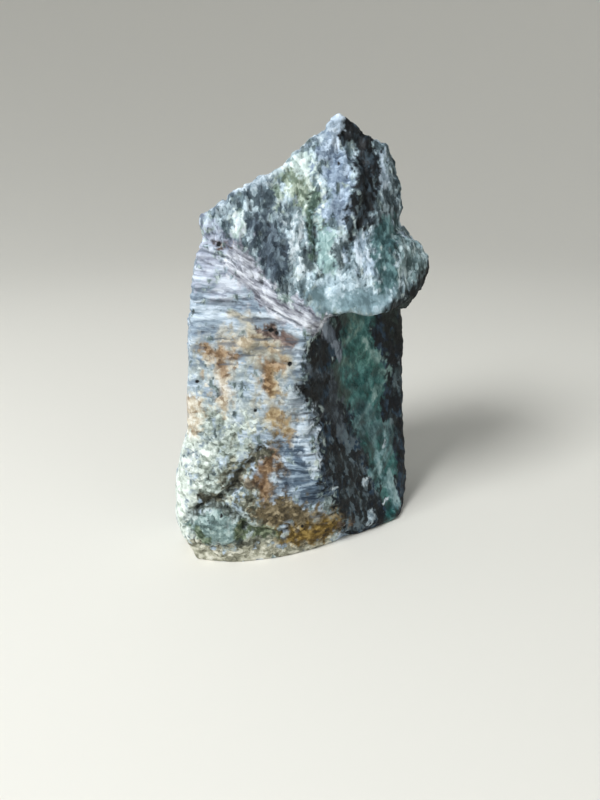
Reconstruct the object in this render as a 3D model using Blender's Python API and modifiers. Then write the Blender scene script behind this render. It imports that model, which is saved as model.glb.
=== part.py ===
"""Raw soapstone block, standing on its broad flat end.

One natural piece of stone. A trunk on a wider foot carries a head that rises to a
blunt peak, and the head swells over a recess split out of the right of the front.
The lumps are joined, skinned at an even pitch and weathered: broad swellings,
upright flutes on the head, a ledge below it, rasp steps beside the recess, cracks,
dents and flake scars.

Metres, +Z up. The face with the recess looks along -Y. The origin lies under the
middle of the stone, on the plane it stands on.
"""

import bmesh
import bpy
import numpy as np
from mathutils import Vector, noise

MM = 0.001
NODE_NAME = "soapstone_block"

# Every length below is in millimetres. Places count from a mark on the bench, x to the
# right, y away and z up, and MIDDLE is the place that becomes the origin.
MIDDLE = (-14.1, -6.2, 0)

# The even skin over the joined lumps, and how coarse it is made in the end
VOXEL = 1.5
SMOOTH_STEPS = 5
TRIANGLES = 10400

# Corners of the lumps; the foot starts below the ground plane, which cuts it flat
FOOT_CORNERS = [
    (-60, -48, -3), (-40, -50, -3), (-27, -48, -3), (-3.5, -38.5, -3), (8.5, -31, -3), (30, -21.5, -3),
    (37, -16, -3), (42.5, 2, -3), (39, 27, -3), (8, 38, -3), (-40, 33, -3), (-62, 8, -3), (-70, -20, -3),
    (-61, -48.5, 2), (-66, -45, 12), (-42, -50.5, 12), (-4, -44, 12), (9, -38, 12), (33, -25, 12),
    (43, 1, 12), (40, 29, 14), (6, 41, 20), (-46, 35, 12), (-66, 8, 16), (-73.5, -20, 12),
    (-70, -21, 28), (-67, -43, 28), (-61, -45.5, 56), (-63, -20, 58), (-60, 6, 60), (-50, 27, 58),
    (-8, 41, 52), (24, 39, 44), (37, 22, 60), (38.5, 1, 56), (26, -30, 50), (-30, -48, 52),
    (-3, -44.5, 52),
]
TRUNK_CORNERS = [
    (-59.5, -44.5, 50), (-60, -18, 50), (-58, 4, 50), (-46, 30, 20), (6, 38, 20), (38, 26, 20),
    (41, 1, 20), (30, -28, 20), (-30, -48, 40), (-2, -44.5, 40), (-57, -45, 77), (-60, -20, 77),
    (-54.5, -44, 97), (-7, -44.5, 97), (22, -32, 97), (36.5, 0, 97), (36, 22, 90), (20, 35, 97),
    (-14, 34, 84), (-48, 22, 97), (-58.5, -20, 97), (-53, -43, 115), (-1, -44, 109), (34, 24, 112),
    (4, 36, 116), (-38, 30, 118), (-56, -16, 112), (35.5, 0, 108), (20, -20, 112), (-49, -40.5, 137),
    (-37, -41.5, 134.5), (-26, -43, 124), (-14, -44, 117.5), (-40, 22, 136), (-50, -13, 136),
    (20, 30, 130),
]
HEAD_CORNERS = [
    (-48.5, -38, 142), (-47.5, -37.5, 148.5), (-49, -10, 145), (-44, 20, 140), (-37, -34, 155.5),
    (-25, -29.5, 160.5), (-13, -25.5, 166), (-1, -22, 169.5), (14, -18, 169.5), (26, -12, 167.5),
    (28, -8, 164.5),
    (-2, -42, 110), (12, -43, 109.5), (25, -39, 109.5), (31, -27, 109.5), (34, -8, 110),
    (28, 12, 160), (14, 24, 163), (-18, 22, 153), (28.5, -8, 153), (31, -8, 140),
    (14, -37, 135), (11, -31, 151), (34, 26, 112), (6, 34, 112), (-34, 28, 112), (-46, -34, 120),
    (31, 24, 146),
]
PEAK_CORNERS = [
    (-14, -25, 166), (-1, -24, 168), (14, -19, 168), (26.5, -12, 168.5), (28, -7, 166),
    (20, 14, 159), (-12, 8, 160), (1.5, -18.5, 179), (5.5, -17, 181.8), (9, -15, 180),
    (8, -8, 177), (16, -12, 174.5), (23, -11, 170),
]
BULGE_CORNERS = [
    (33, -10, 139), (34, -11, 134), (39, -12, 129), (43.5, -13, 121.5), (41.5, -15, 113.5),
    (37, -16, 108), (26, -37, 113), (27, -35, 124), (20, -30, 138), (33.5, -32, 112),
    (34.5, -29, 122), (34, -24, 133), (40, 2, 122), (35, 16, 118), (32, 8, 138), (33, 0, 108),
    (10, -20, 120),
]
RECESS_CORNERS = [
    (-3.6, -48, 109), (-9.9, -48, 97.5), (-9.4, -48, 74.5), (-8, -48, 56), (-5, -48, 38),
    (-3, -48, 25), (1, -48, 11), (8.4, -14, 109), (9.5, -15, 81), (13.9, -15, 62), (19.5, -18, 38),
    (25, -22, 18), (28, -25, 4), (21, -8, 109), (24.5, -8, 76), (25.8, -10, 60), (32, -12, 29),
    (35, -15, 5), (36.5, 4, 109), (40, 4, 40), (60, 4, 109), (60, 4, 6), (60, -60, 109),
    (0, -60, 109), (60, -60, 6), (8, -60, 6),
]

# The slab that cuts the foot flat: its reach along x and y, and along z
GROUND_SPAN = (-120, 120)
GROUND_DEPTH = (-40, 0)

# Relief layers: grain size along x, y and z, and height
SWELLS = [((32, 32, 32), 1.5), ((14, 14, 14), 0.8), ((5.5, 5.5, 5.5), 0.4)]
FLUTES = [((11, 14, 60), 1.0), ((4.5, 8, 26), 0.7)]
WANDER = [((11, 11, 11), 0.5)]

# Thin plates that have sprung off leave steps: plate size, number of levels, height
PLATES = ((15, 15, 44), 3, 1.7)
PLATES_ON_FLANKS = 0.6

# The seam between the pale front and the head, as (x, z); the front stands proud of it
SEAM = [(-47, 139), (-37, 135.5), (-25, 122), (-15, 117), (-1, 109)]
LEDGE_HEIGHT = 1.1
LEDGE_REACH = 7.0

# The edge between the front and the recess, as (z, x), notched by rasp steps
RECESS_EDGE = [
    (0, 8), (13, 6), (26, 2.6), (37, 0.4), (56, -3.8), (75, -5.7), (98, -6.6), (109, -1.4),
]
RASP_PITCH = 8.0
RASP_DEPTH = 1.2
RASP_REACH = 6.0

# Cracks and channels: path, half width, depth
CRACKS = [
    ([(-22, -53, 64), (-36, -48, 45), (-43, -48, 34), (-52, -47, 24), (-60, -46, 21)], 4.5, 2.2),
    ([(-52, -48, 25), (-36, -50, 20), (-30, -50, 8)], 4.0, 1.4),
    ([(10, -16, 176), (14, -21, 163), (17, -27, 146), (15, -34, 132)], 5.0, 1.8),
    ([(-6, -28, 157), (-3, -36, 132), (-1, -40, 118)], 3.5, 1.2),
    ([(24, -8, 74), (29, -10, 48), (34, -13, 22)], 3.5, 1.5),
    ([(-30, 30, 14), (-12, 38, 48), (-20, 36, 80), (8, 36, 118)], 4.5, 2.2),
]

# Dents push inwards, swellings (a negative depth) outwards: centre, radius, depth
DENTS = [
    ((-21, -36, 141), 17, 1.4), ((31, -32, 125), 10, 1.6), ((-24, -46, 100), 6, 1.2),
    ((-46, -48, 14), 15, -1.8), ((-62, -36, 34), 13, -0.8), ((16, -14, 96), 11, -1.2),
    ((-30, -47, 86), 20, 0.8), ((-14, -46, 40), 14, -0.9), ((-40, -45, 112), 16, 0.7),
    ((-22, -30, 161), 10, 1.6), ((-8, -25, 169), 8, 1.4), ((-47, -36, 149), 7, 1.8),
    ((36, -12, 139), 9, 2.4), ((6, -17, 181), 9, -1.3), ((-65, -44, 44), 12, 1.0),
    ((-65, -42, 16), 13, -1.8), ((-50, -38, 126), 18, -1.5),
    ((-34, -33, 156), 9, -1.2),
]

# Ripples of the shell-like break inside the recess
RIPPLE_CENTRE = (4, -20, 108)
RIPPLE_PITCH = 13.0
RIPPLE_HEIGHT = 0.22
RECESS_BACK = 2.0

# Flake scars round the back, struck at these heights and bearings in degrees (0 is right)
SCAR_SEED = 4
SCARS = 44
SCAR_HEIGHT = (4, 150)
SCAR_BEARING = (20, 165)
SCAR_RADIUS = (30, 120)
SCAR_BITE = (0.6, 2.4)
SCAR_TILT = 0.2

# Weathered grey-green
STONE_COLOUR = (0.36, 0.42, 0.42, 1.0)
STONE_ROUGHNESS = 0.55


def collection(name):
    """A collection of this name under the scene."""
    made = bpy.data.collections.new(name)
    bpy.context.scene.collection.children.link(made)
    return made


def hull(name, corners, home):
    """A closed lump: the convex hull of corners given in millimetres."""
    shape = bmesh.new()
    for corner in corners:
        shape.verts.new((Vector(corner) - Vector(MIDDLE)) * MM)
    found = bmesh.ops.convex_hull(shape, input=shape.verts)
    spare = set(found["geom_unused"] + found["geom_interior"])
    spare_verts = [item for item in spare if isinstance(item, bmesh.types.BMVert)]
    bmesh.ops.delete(shape, geom=spare_verts, context="VERTS")
    bmesh.ops.recalc_face_normals(shape, faces=shape.faces)
    lump = bpy.data.objects.new(name, bpy.data.meshes.new(name))
    shape.to_mesh(lump.data)
    shape.free()
    home.objects.link(lump)
    return lump


def as_cutter(obj):
    """Show a shape that only serves to build the stone as a wire frame."""
    obj.hide_render = True
    obj.display_type = "WIRE"


def boolean(obj, other, operation):
    """Add an exact Boolean with the other shape."""
    step = obj.modifiers.new(other.name, "BOOLEAN")
    step.operation = operation
    step.solver = "EXACT"
    step.object = other


def evaluated_mesh(obj):
    """The mesh of an object with its modifiers carried out."""
    bpy.context.view_layer.update()
    graph = bpy.context.evaluated_depsgraph_get()
    return bpy.data.meshes.new_from_object(obj.evaluated_get(graph))


def joined_lumps(cutters):
    """The lumps joined into one stone, with an even skin."""
    stone = hull("trunk", TRUNK_CORNERS, cutters)
    boolean(stone, hull("foot", FOOT_CORNERS, cutters), "UNION")
    boolean(stone, hull("recess", RECESS_CORNERS, cutters), "DIFFERENCE")
    boolean(stone, hull("head", HEAD_CORNERS, cutters), "UNION")
    boolean(stone, hull("peak", PEAK_CORNERS, cutters), "UNION")
    boolean(stone, hull("bulge", BULGE_CORNERS, cutters), "UNION")
    skin = stone.modifiers.new("Skin", "REMESH")
    skin.mode = "VOXEL"
    skin.voxel_size = VOXEL * MM
    smooth = stone.modifiers.new("Worn", "SMOOTH")
    smooth.factor = 0.5
    smooth.iterations = SMOOTH_STEPS
    return stone


def read_vectors(items, field):
    """One vector of every vertex as an array."""
    flat = np.empty(len(items) * 3)
    items.foreach_get(field, flat)
    return flat.reshape(-1, 3)


def grain(points, layers):
    """Summed noise of the layers at the points, in millimetres."""
    total = np.zeros(len(points))
    for size, height in layers:
        total += height * np.array([noise.noise(Vector(p)) for p in points / size])
    return total


def fade(distance, reach):
    """One at no distance, falling softly to nothing at the reach."""
    return np.clip(1.0 - (distance / reach) ** 2, 0.0, 1.0) ** 2


def path_distance(points, path):
    """Distance of every point from a path of straight pieces."""
    best = np.full(len(points), np.inf)
    for start, end in zip(np.array(path[:-1], float), np.array(path[1:], float)):
        run = end - start
        share = np.clip((points - start) @ run / (run @ run), 0.0, 1.0)
        foot = start + share[:, None] * run
        best = np.minimum(best, np.linalg.norm(points - foot, axis=1))
    return best


def head_relief(points, front):
    """Flutes and sprung plates above the seam, and the ledge that stands proud below it."""
    seam_x, seam_z = zip(*SEAM)
    above = points[:, 2] - np.interp(points[:, 0], seam_x, seam_z)
    on_head = np.clip(above / LEDGE_REACH, 0.0, 1.0)
    size, levels, height = PLATES
    plates = height / levels * np.round(levels * grain(points, [(size, 1.0)]))
    plates *= np.maximum(on_head, PLATES_ON_FLANKS * (1.0 - front))
    ledge = -np.tanh(above) * fade(above, LEDGE_REACH) * LEDGE_HEIGHT
    beside = np.clip((seam_x[-1] - points[:, 0]) / LEDGE_REACH, 0.0, 1.0)
    return on_head * grain(points, FLUTES) + plates + ledge * front * beside


def rasp_relief(points, front):
    """Notches one above the other along the edge of the recess."""
    edge_z, edge_x = zip(*RECESS_EDGE)
    beside = points[:, 0] - np.interp(points[:, 2], edge_z, edge_x)
    notch = 0.5 + 0.5 * np.sin(2 * np.pi * (points[:, 2] / RASP_PITCH + 2 * grain(points, WANDER)))
    below_head = points[:, 2] < edge_z[-1]
    return -RASP_DEPTH * notch * fade(beside, RASP_REACH) * front * below_head


def recess_relief(points):
    """Shell-like ripples that spread over the broken face inside the recess."""
    edge_z, edge_x = zip(*RECESS_EDGE)
    inside = points[:, 0] > np.interp(points[:, 2], edge_z, edge_x) + 2 * RASP_REACH
    inside &= (points[:, 2] < edge_z[-1]) & (points[:, 1] < RECESS_BACK)
    away = np.linalg.norm(points - np.array(RIPPLE_CENTRE), axis=1) / RIPPLE_PITCH
    return RIPPLE_HEIGHT * np.sin(2 * np.pi * (away + grain(points, WANDER))) * inside


def marks(points):
    """Cracks, channels, dents and swellings."""
    total = np.zeros(len(points))
    wander = grain(points, WANDER)
    for path, width, depth in CRACKS:
        away = path_distance(points, path) + width * wander
        total -= depth * fade(np.clip(away, 0.0, None), width) * (0.8 + wander)
    for centre, radius, depth in DENTS:
        away = np.linalg.norm(points - np.array(centre), axis=1)
        total -= depth * fade(away, radius)
    return total


def flake(points, normals):
    """Scoop wide shallow scars out of the outermost skin round the back."""
    rng = np.random.default_rng(SCAR_SEED)
    for _ in range(SCARS):
        height = rng.uniform(*SCAR_HEIGHT)
        bearing = np.radians(rng.uniform(*SCAR_BEARING))
        level = np.flatnonzero(np.abs(points[:, 2] - height) < 2 * VOXEL)
        reach = points[level, 0] * np.cos(bearing) + points[level, 1] * np.sin(bearing)
        struck = level[np.argmax(reach)]
        facing = normals[struck] + rng.uniform(-SCAR_TILT, SCAR_TILT, 3)
        radius = rng.uniform(*SCAR_RADIUS)
        lift = radius - rng.uniform(*SCAR_BITE)
        outward = points - points[struck] - facing / np.linalg.norm(facing) * lift
        distance = np.linalg.norm(outward, axis=1, keepdims=True)
        points = points + outward * np.clip(radius / distance - 1.0, 0.0, None)
    return points


def weather(mesh):
    """Wear the even skin into the surface of a rough stone."""
    points = read_vectors(mesh.vertices, "co") / MM + np.array(MIDDLE)
    normals = read_vectors(mesh.vertices, "normal")
    front = np.clip(-2.0 * normals[:, 1], 0.0, 1.0)
    relief = grain(points, SWELLS) + head_relief(points, front)
    relief += rasp_relief(points, front) + recess_relief(points) + marks(points)
    points = flake(points, normals) + normals * relief[:, None]
    mesh.vertices.foreach_set("co", ((points - np.array(MIDDLE)) * MM).ravel())
    mesh.update()


def ground(cutters):
    """A slab below the plane the stone stands on."""
    slab = [(x, y, z) for x in GROUND_SPAN for y in GROUND_SPAN for z in GROUND_DEPTH]
    return hull("ground", slab, cutters)


def soapstone():
    """Grey-green soapstone, dull and unpolished."""
    material = bpy.data.materials.new("Raw soapstone")
    material.use_nodes = True
    surface = material.node_tree.nodes["Principled BSDF"]
    surface.inputs["Base Color"].default_value = STONE_COLOUR
    surface.inputs["Roughness"].default_value = STONE_ROUGHNESS
    surface.inputs["Metallic"].default_value = 0.0
    return material


def main():
    """Build the stone from nothing."""
    for old in list(bpy.data.objects):
        bpy.data.objects.remove(old)
    home = collection("Raw soapstone block")
    cutters = collection("Cutters")
    skin = evaluated_mesh(joined_lumps(cutters))
    weather(skin)
    skin.materials.append(soapstone())
    stone = bpy.data.objects.new(NODE_NAME, skin)
    home.objects.link(stone)
    coarse = stone.modifiers.new("Coarse", "DECIMATE")
    coarse.ratio = TRIANGLES / (2 * len(skin.polygons))
    boolean(stone, ground(cutters), "DIFFERENCE")
    for obj in cutters.objects:
        as_cutter(obj)


main()
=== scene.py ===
"""Raw soapstone block on a plain pale floor.

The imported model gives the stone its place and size. A finer skin is drawn over it and
worn: foliation and sprung splinters on the head, rasp strokes on the pale front, a
granular foot, a shell-like break inside the recess. The stone's colours are laid on the
skin coat by coat, and one procedural finish mottles them by the grain of each coat.

Metres in the scene. Places on the stone are millimetres from a mark on the bench, x to
the right, y away and z up; BENCH_MARK is where the model's origin lies.
"""

import logging
import math
from dataclasses import dataclass, field
from enum import Enum

import bmesh
import bpy
import numpy as np
from mathutils import Matrix, Vector


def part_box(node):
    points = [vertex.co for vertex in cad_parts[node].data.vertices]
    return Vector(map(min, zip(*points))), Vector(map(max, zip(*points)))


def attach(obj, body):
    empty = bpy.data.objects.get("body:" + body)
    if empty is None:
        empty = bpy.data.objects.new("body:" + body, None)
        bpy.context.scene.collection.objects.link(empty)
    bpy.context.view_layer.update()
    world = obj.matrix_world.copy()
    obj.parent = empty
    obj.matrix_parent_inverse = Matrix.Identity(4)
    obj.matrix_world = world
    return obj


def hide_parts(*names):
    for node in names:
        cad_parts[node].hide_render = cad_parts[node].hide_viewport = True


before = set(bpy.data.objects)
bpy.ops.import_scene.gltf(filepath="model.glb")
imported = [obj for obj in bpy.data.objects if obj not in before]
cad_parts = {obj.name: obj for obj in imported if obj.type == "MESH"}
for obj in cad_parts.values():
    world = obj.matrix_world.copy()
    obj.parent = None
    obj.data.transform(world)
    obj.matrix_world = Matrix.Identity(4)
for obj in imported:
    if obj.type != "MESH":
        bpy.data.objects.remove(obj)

MM = 0.001
NODE = "soapstone_block"
BODY = "root"
BENCH_MARK = (-14.1, -6.2, 0.0)

Tone = tuple[int, int, int]
Spot = tuple[float, float]
Place = tuple[float, float, float]
Array = np.ndarray
Socket = bpy.types.NodeSocket

log = logging.getLogger("soapstone")


def linear(tone: Tone) -> tuple[float, float, float, float]:
    """Turn a screen tone into the colour a shader works with.

    Args:
        tone: red, green and blue from 0 to 255.

    Returns:
        The linear colour with full alpha.
    """
    shares = (part / 255 for part in tone)
    return (*(s / 12.92 if s <= 0.04045 else ((s + 0.055) / 1.055) ** 2.4 for s in shares), 1.0)


def fade(distance: Array, reach: float) -> Array:
    """One at no distance, falling softly to nothing at the reach."""
    return np.clip(1.0 - (distance / reach) ** 2, 0.0, 1.0) ** 2


def ramp(value: Array, low: float, high: float) -> Array:
    """Nothing below low, one above high and a soft rise between them."""
    share = np.clip((value - low) / (high - low), 0.0, 1.0)
    return share * share * (3.0 - 2.0 * share)


def terrace(steps: Array, slope: float) -> Array:
    """Level steps that keep a share of the slope between them."""
    return np.round(steps) + slope * (steps - np.round(steps))


def path_distance(points: Array, path: tuple[tuple[float, ...], ...]) -> Array:
    """Distance of every point from a path of straight pieces.

    Args:
        points: one point a row, with as many numbers as the path's places.
        path: the corners of the path.

    Returns:
        One distance a point.
    """
    corners = np.array(path, float)
    if len(corners) == 1:
        return np.linalg.norm(points - corners[0], axis=1)
    best = np.full(len(points), np.inf)
    for start, end in zip(corners[:-1], corners[1:]):
        run = end - start
        share = np.clip((points - start) @ run / (run @ run), 0.0, 1.0)
        foot = start + share[:, None] * run
        best = np.minimum(best, np.linalg.norm(points - foot, axis=1))
    return best


class Grain:
    """Lattice noise with a fixed seed, worked out for many points at once."""

    LATTICE = 256
    GAIN = 1.7
    SHIFT = 17.3

    def __init__(self, seed: int) -> None:
        """Draw the lattice.

        Args:
            seed: the same seed always gives the same grain.
        """
        rng = np.random.default_rng(seed)
        slopes = rng.normal(size=(self.LATTICE, 3))
        self.order = rng.permutation(self.LATTICE)
        self.slopes = slopes / np.linalg.norm(slopes, axis=1, keepdims=True)
        self.jitter = rng.random((self.LATTICE, 3))
        self.levels = rng.random(self.LATTICE)

    def _corner(self, cell: Array) -> Array:
        """Which lattice entry belongs to each cell.

        Args:
            cell: whole numbers along x, y and z, one cell a row.

        Returns:
            One entry a cell.
        """
        x, y, z = (cell % self.LATTICE).T
        first = self.order[x] + y
        return self.order[(self.order[first % self.LATTICE] + z) % self.LATTICE]

    def at(self, points: Array, size: Place) -> Array:
        """Smooth noise between about -1 and 1.

        Args:
            points: places in millimetres.
            size: length of one swell along x, y and z.

        Returns:
            One value a point.
        """
        place = points / np.array(size)
        cell = np.floor(place).astype(int)
        inside = place - cell
        ease = inside**3 * (inside * (inside * 6.0 - 15.0) + 10.0)
        total = np.zeros(len(points))
        for corner in np.ndindex(2, 2, 2):
            step = np.array(corner)
            slope = self.slopes[self._corner(cell + step)]
            share = np.prod(np.where(step, ease, 1.0 - ease), axis=1)
            total += share * np.einsum("ij,ij->i", slope, inside - step)
        return self.GAIN * total

    def layers(self, points: Array, size: Place, octaves: int, keep: float) -> Array:
        """Noise with finer noise on top.

        Args:
            points: places in millimetres.
            size: length of the widest swell along x, y and z.
            octaves: how many layers, each half the size of the last.
            keep: height of a layer as a share of the last.

        Returns:
            One value a point.
        """
        total = np.zeros(len(points))
        for octave in range(octaves):
            finer = tuple(np.array(size) / 2**octave)
            total += keep**octave * self.at(points + self.SHIFT * octave, finer)
        return total

    def cells(self, points: Array, size: Place) -> tuple[Array, Array]:
        """Split space into irregular cells, as packed crystals are.

        Args:
            points: places in millimetres.
            size: length of one cell along x, y and z.

        Returns:
            How far each point is inside its cell, nought on the joint between two, and
            the level of its cell from 0 to 1.
        """
        place = points / np.array(size)
        cell = np.floor(place).astype(int)
        nearest = np.full(len(points), np.inf)
        second = nearest.copy()
        level = np.zeros(len(points))
        for step in np.ndindex(3, 3, 3):
            around = cell + np.array(step) - 1
            entry = self._corner(around)
            gap = np.linalg.norm(around + self.jitter[entry] - place, axis=1)
            closer = gap < nearest
            second = np.where(closer, nearest, np.minimum(second, gap))
            level = np.where(closer, self.levels[entry], level)
            nearest = np.minimum(nearest, gap)
        return second - nearest, level


@dataclass(frozen=True)
class Swell:
    """Noise of one kind: its size and height, and how much finer noise lies on it."""

    size: Place
    height: float = 1.0
    shift: float = 0.0
    octaves: int = 1
    keep: float = 0.5

    def over(self, grain: Grain, points: Array) -> Array:
        """The noise at every point."""
        return self.height * grain.layers(points + self.shift, self.size, self.octaves, self.keep)

    def moved(self, grain: Grain, points: Array) -> Array:
        """The points, each moved by the noise there, as far along x as along y and z."""
        return points + self.over(grain, points)[:, None]


@dataclass(frozen=True)
class Chips:
    """Broken chips: their size, how far they step in and out and how wide their joints are."""

    size: Place
    height: float
    joint: float

    def over(self, grain: Grain, points: Array) -> Array:
        """The step of every point's chip."""
        rim, level = grain.cells(points, self.size)
        return self.height * (level - 0.5) * ramp(rim, 0.0, self.joint)


class Area(Enum):
    """The broad areas of the stone, each with a cover of its own on the skin."""

    HEAD = "head"
    FRONT = "front"
    BAND = "band"
    GLASS = "glass"
    FLANK = "flank"
    # The head's upward faces, painted lighter as if lit from above.
    CROWN = "crown"
    DEEP = "deep"
    PALE = "pale"
    TEAL = "teal"
    VEIN = "vein"
    STAIN = "stain"


class Shade(Enum):
    """The three tones that a tint is mottled from."""

    DARK = "dark"
    MIDDLE = "middle"
    LIGHT = "light"


class Cover(Enum):
    """What the skin holds for its finish beside the tones and their grain."""

    ROUGH = "rough"
    # Painted highlight on raised edges.
    WORN = "worn"
    # Painted shade in hollows.
    GRIME = "grime"
    STROKES = "strokes"
    PITS = "pits"


class Sum(Enum):
    """The sums a material works out."""

    ADD = "ADD"
    SUBTRACT = "SUBTRACT"
    MULTIPLY = "MULTIPLY"


class Slope(Enum):
    """How a value rises between two limits."""

    SOFT = "SMOOTHSTEP"
    EVEN = "LINEAR"


class Blend(Enum):
    """How one colour is laid over another."""

    PLAIN = "MIX"
    SOFT = "SOFT_LIGHT"
    DARKEN = "MULTIPLY"


class Pattern(Enum):
    """The grains a colour can be mottled with."""

    UPRIGHT = "upright"
    LEVEL = "level"
    SEAM = "seam"
    ROUND = "round"
    SLANTED = "slanted"
    CLOUDY = "cloudy"


@dataclass(frozen=True)
class Mottle:
    """How one grain is made up: two sizes of swell and a size of chip, in millimetres."""

    wide: Place
    narrow: Place
    chip: Place
    tilt: float
    swing: float
    jump: float


MOTTLES: dict[Pattern, Mottle] = {
    Pattern.UPRIGHT: Mottle((5.0, 5.0, 11.0), (2.1, 2.1, 4.4), (1.6, 1.6, 3.0), 4.0, 1.55, 0.28),
    Pattern.LEVEL: Mottle((13.0, 8.0, 4.2), (8.5, 5.0, 1.3), (4.0, 3.0, 1.2), 5.0, 1.6, 0.16),
    Pattern.SEAM: Mottle((15.0, 8.0, 4.0), (8.0, 5.0, 1.4), (3.6, 3.0, 1.4), 33.0, 2.0, 0.2),
    Pattern.ROUND: Mottle((5.4, 5.4, 4.8), (2.2, 2.2, 2.0), (1.9, 1.9, 1.7), 0.0, 1.3, 0.28),
    Pattern.SLANTED: Mottle((5.5, 5.5, 11.0), (2.4, 2.4, 4.6), (2.4, 2.4, 4.6), -24.0, 1.6, 0.42),
    Pattern.CLOUDY: Mottle((8.0, 8.0, 12.0), (3.0, 3.0, 5.0), (2.0, 2.0, 2.6), -20.0, 1.9, 0.14),
}


@dataclass(frozen=True)
class Layout:
    """Where the areas of the stone meet, in millimetres on the bench."""

    grain: Grain
    seam: tuple[Spot, ...] = ((-47, 139), (-37, 135.5), (-25, 122), (-15, 117), (-1, 109))
    arris: tuple[Spot, ...] = (
        (0, 10.5), (9, 6.7), (24, 0.4), (35, -3.2), (43, -4.8), (58, -6), (69, -6.6), (76, -9.4),
        (81, -11.5), (89, -10.4), (98, -6.8), (107, -5.6), (109, -2.5),
    )
    glass_left: tuple[Spot, ...] = (
        (8, 28.5), (31, 20), (50.6, 13), (64, 8.3), (74, 2.5), (85, 1.7), (89, 6.5), (97, 6),
    )
    glass_right: tuple[Spot, ...] = (
        (6, 34), (29, 35), (42, 28), (56, 26), (64, 30.5), (71, 29.8), (86, 23.1), (99, 21.8),
    )
    glass_facing: Spot = (0.1, 0.4)
    head_foot: float = 109.5
    pale_back: float = -10.0
    head_back: float = 4.0
    flank_back: float = 12.0
    flank_overlap: float = 1.0
    # Where the head's upward faces get painted highlight, by facing and by height.
    lit_top_facing: Spot = (0.25, 1.0)
    lit_top_height: Spot = (120.0, 140.0)
    border: float = 6.0
    seam_share: float = 0.77
    back_share: float = 0.5
    outward_gain: float = 6.0
    outward_limit: float = 0.2
    back_waver: Swell = Swell((18, 18, 24), 4.0)
    notches: tuple[Swell, ...] = (Swell((15, 15, 2.6), 2.6, 25.0), Swell((6, 6, 1.6), 1.2))
    notch_start: Spot = (2.0, 10.0)

    def above_seam(self, points: Array) -> Array:
        """Height above the seam between the pale front and the head."""
        x, z = zip(*self.seam)
        return points[:, 2] - np.interp(points[:, 0], x, z)

    def past(self, points: Array, line: tuple[Spot, ...]) -> Array:
        """How far to the right of an upright line each point is."""
        z, x = zip(*line)
        return points[:, 0] - np.interp(points[:, 2], z, x)

    def under_head(self, points: Array) -> Array:
        """How far below the head's overhang each point is."""
        return self.head_foot - points[:, 2]

    def inside(self, points: Array) -> Array:
        """How far inside the recess each point is, at most its depth below the overhang."""
        return np.minimum(self.past(points, self.arris), self.under_head(points))

    def areas(self, points: Array, facing: Array) -> dict[Area, Array]:
        """The cover of each broad area: a half on its border, one well inside.

        Args:
            points: places in millimetres.
            facing: calm normals.

        Returns:
            One cover an area.
        """
        above = self.seam_share * self.above_seam(points)
        below_head = self.under_head(points)
        from_front = points[:, 1] + self.back_waver.over(self.grain, points)
        head_end, front_end, flank_end = (
            self.back_share * (back - from_front)
            for back in (self.head_back, self.pale_back, self.flank_back)
        )
        outward = self.outward_gain * (self.outward_limit - facing[:, 1])
        right_edge = self.past(points, self.glass_right)
        notch = sum(swell.over(self.grain, points) for swell in self.notches)
        inside = self.inside(points) + notch * ramp(below_head, *self.notch_start)
        glass = np.minimum(self.past(points, self.glass_left), -right_edge)
        depths = {
            Area.HEAD: (above, head_end),
            Area.FRONT: (-above, -inside, front_end),
            Area.BAND: (inside, outward, flank_end),
            Area.GLASS: (glass, below_head),
            Area.FLANK: (right_edge, below_head + self.flank_overlap, flank_end),
        }
        covers = {}
        for area, limits in depths.items():
            covers[area] = np.clip(0.5 + np.minimum.reduce(limits) / (2.0 * self.border), 0.0, 1.0)
        covers[Area.GLASS] *= ramp(-facing[:, 1], *self.glass_facing)
        # Painted highlight on the upward faces high on the head.
        crown = ramp(facing[:, 2], *self.lit_top_facing)
        covers[Area.CROWN] = crown * ramp(points[:, 2], *self.lit_top_height)
        return covers


@dataclass(frozen=True)
class BackLayout:
    """The patches, veins and the stain that the sides and back show."""

    grain: Grain
    patches: Swell = Swell((24, 24, 36), 1.0, 200.0, 3, 0.6)
    teal_patches: Swell = Swell((30, 30, 40), 1.0, 300.0, 3, 0.6)
    patch_slope: float = 0.9
    deep_level: float = 0.3
    pale_level: float = -0.4
    teal_level: float = 0.35
    veins: tuple[float, float, float] = (0.9, -0.35, 0.12)
    vein_bend: Swell = Swell((34, 34, 60), 9.0, 50.0, 2)
    vein_gap: float = 34.0
    vein_width: float = 1.5
    vein_swing: Swell = Swell((22, 22, 34), 1.2, 70.0)
    vein_slope: float = 0.14
    stain: tuple[Place, ...] = ((-34, 32, 112), (-30, 36, 82), (-40, 34, 50), (-36, 30, 28))
    stain_reach: float = 11.0

    def areas(self, points: Array) -> dict[Area, Array]:
        """The cover of each patch, of the veins and of the stain.

        Args:
            points: places in millimetres.

        Returns:
            One cover an area.
        """
        broad = self.patches.over(self.grain, points)
        other = self.teal_patches.over(self.grain, points)
        sheets = points @ np.array(self.veins) + self.vein_bend.over(self.grain, points)
        off = np.abs((sheets / self.vein_gap) % 1.0 - 0.5) * self.vein_gap
        width = self.vein_width * (1.0 + self.vein_swing.over(self.grain, points))
        return {
            Area.DEEP: 0.5 + self.patch_slope * (broad - self.deep_level),
            Area.PALE: 0.5 - self.patch_slope * (broad - self.pale_level),
            Area.TEAL: 0.5 + self.patch_slope * (other - self.teal_level),
            Area.VEIN: 0.5 + self.vein_slope * (width - off),
            Area.STAIN: 1.0 - path_distance(points, self.stain) / (2.0 * self.stain_reach),
        }


FLUTES: tuple[Swell, ...] = (
    Swell((4.4, 5, 18), 0.36), Swell((2.1, 2.8, 7), 0.26), Swell((1.3, 1.7, 3.5), 0.14),
)


@dataclass(frozen=True)
class Crack:
    """An open crack: its path, how wide it is and how deep."""

    path: tuple[Place, ...]
    width: float
    depth: float


@dataclass(frozen=True)
class Pit:
    """A small pit in the front, its middle given as (x, z)."""

    centre: Spot
    radius: float
    depth: float


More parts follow.
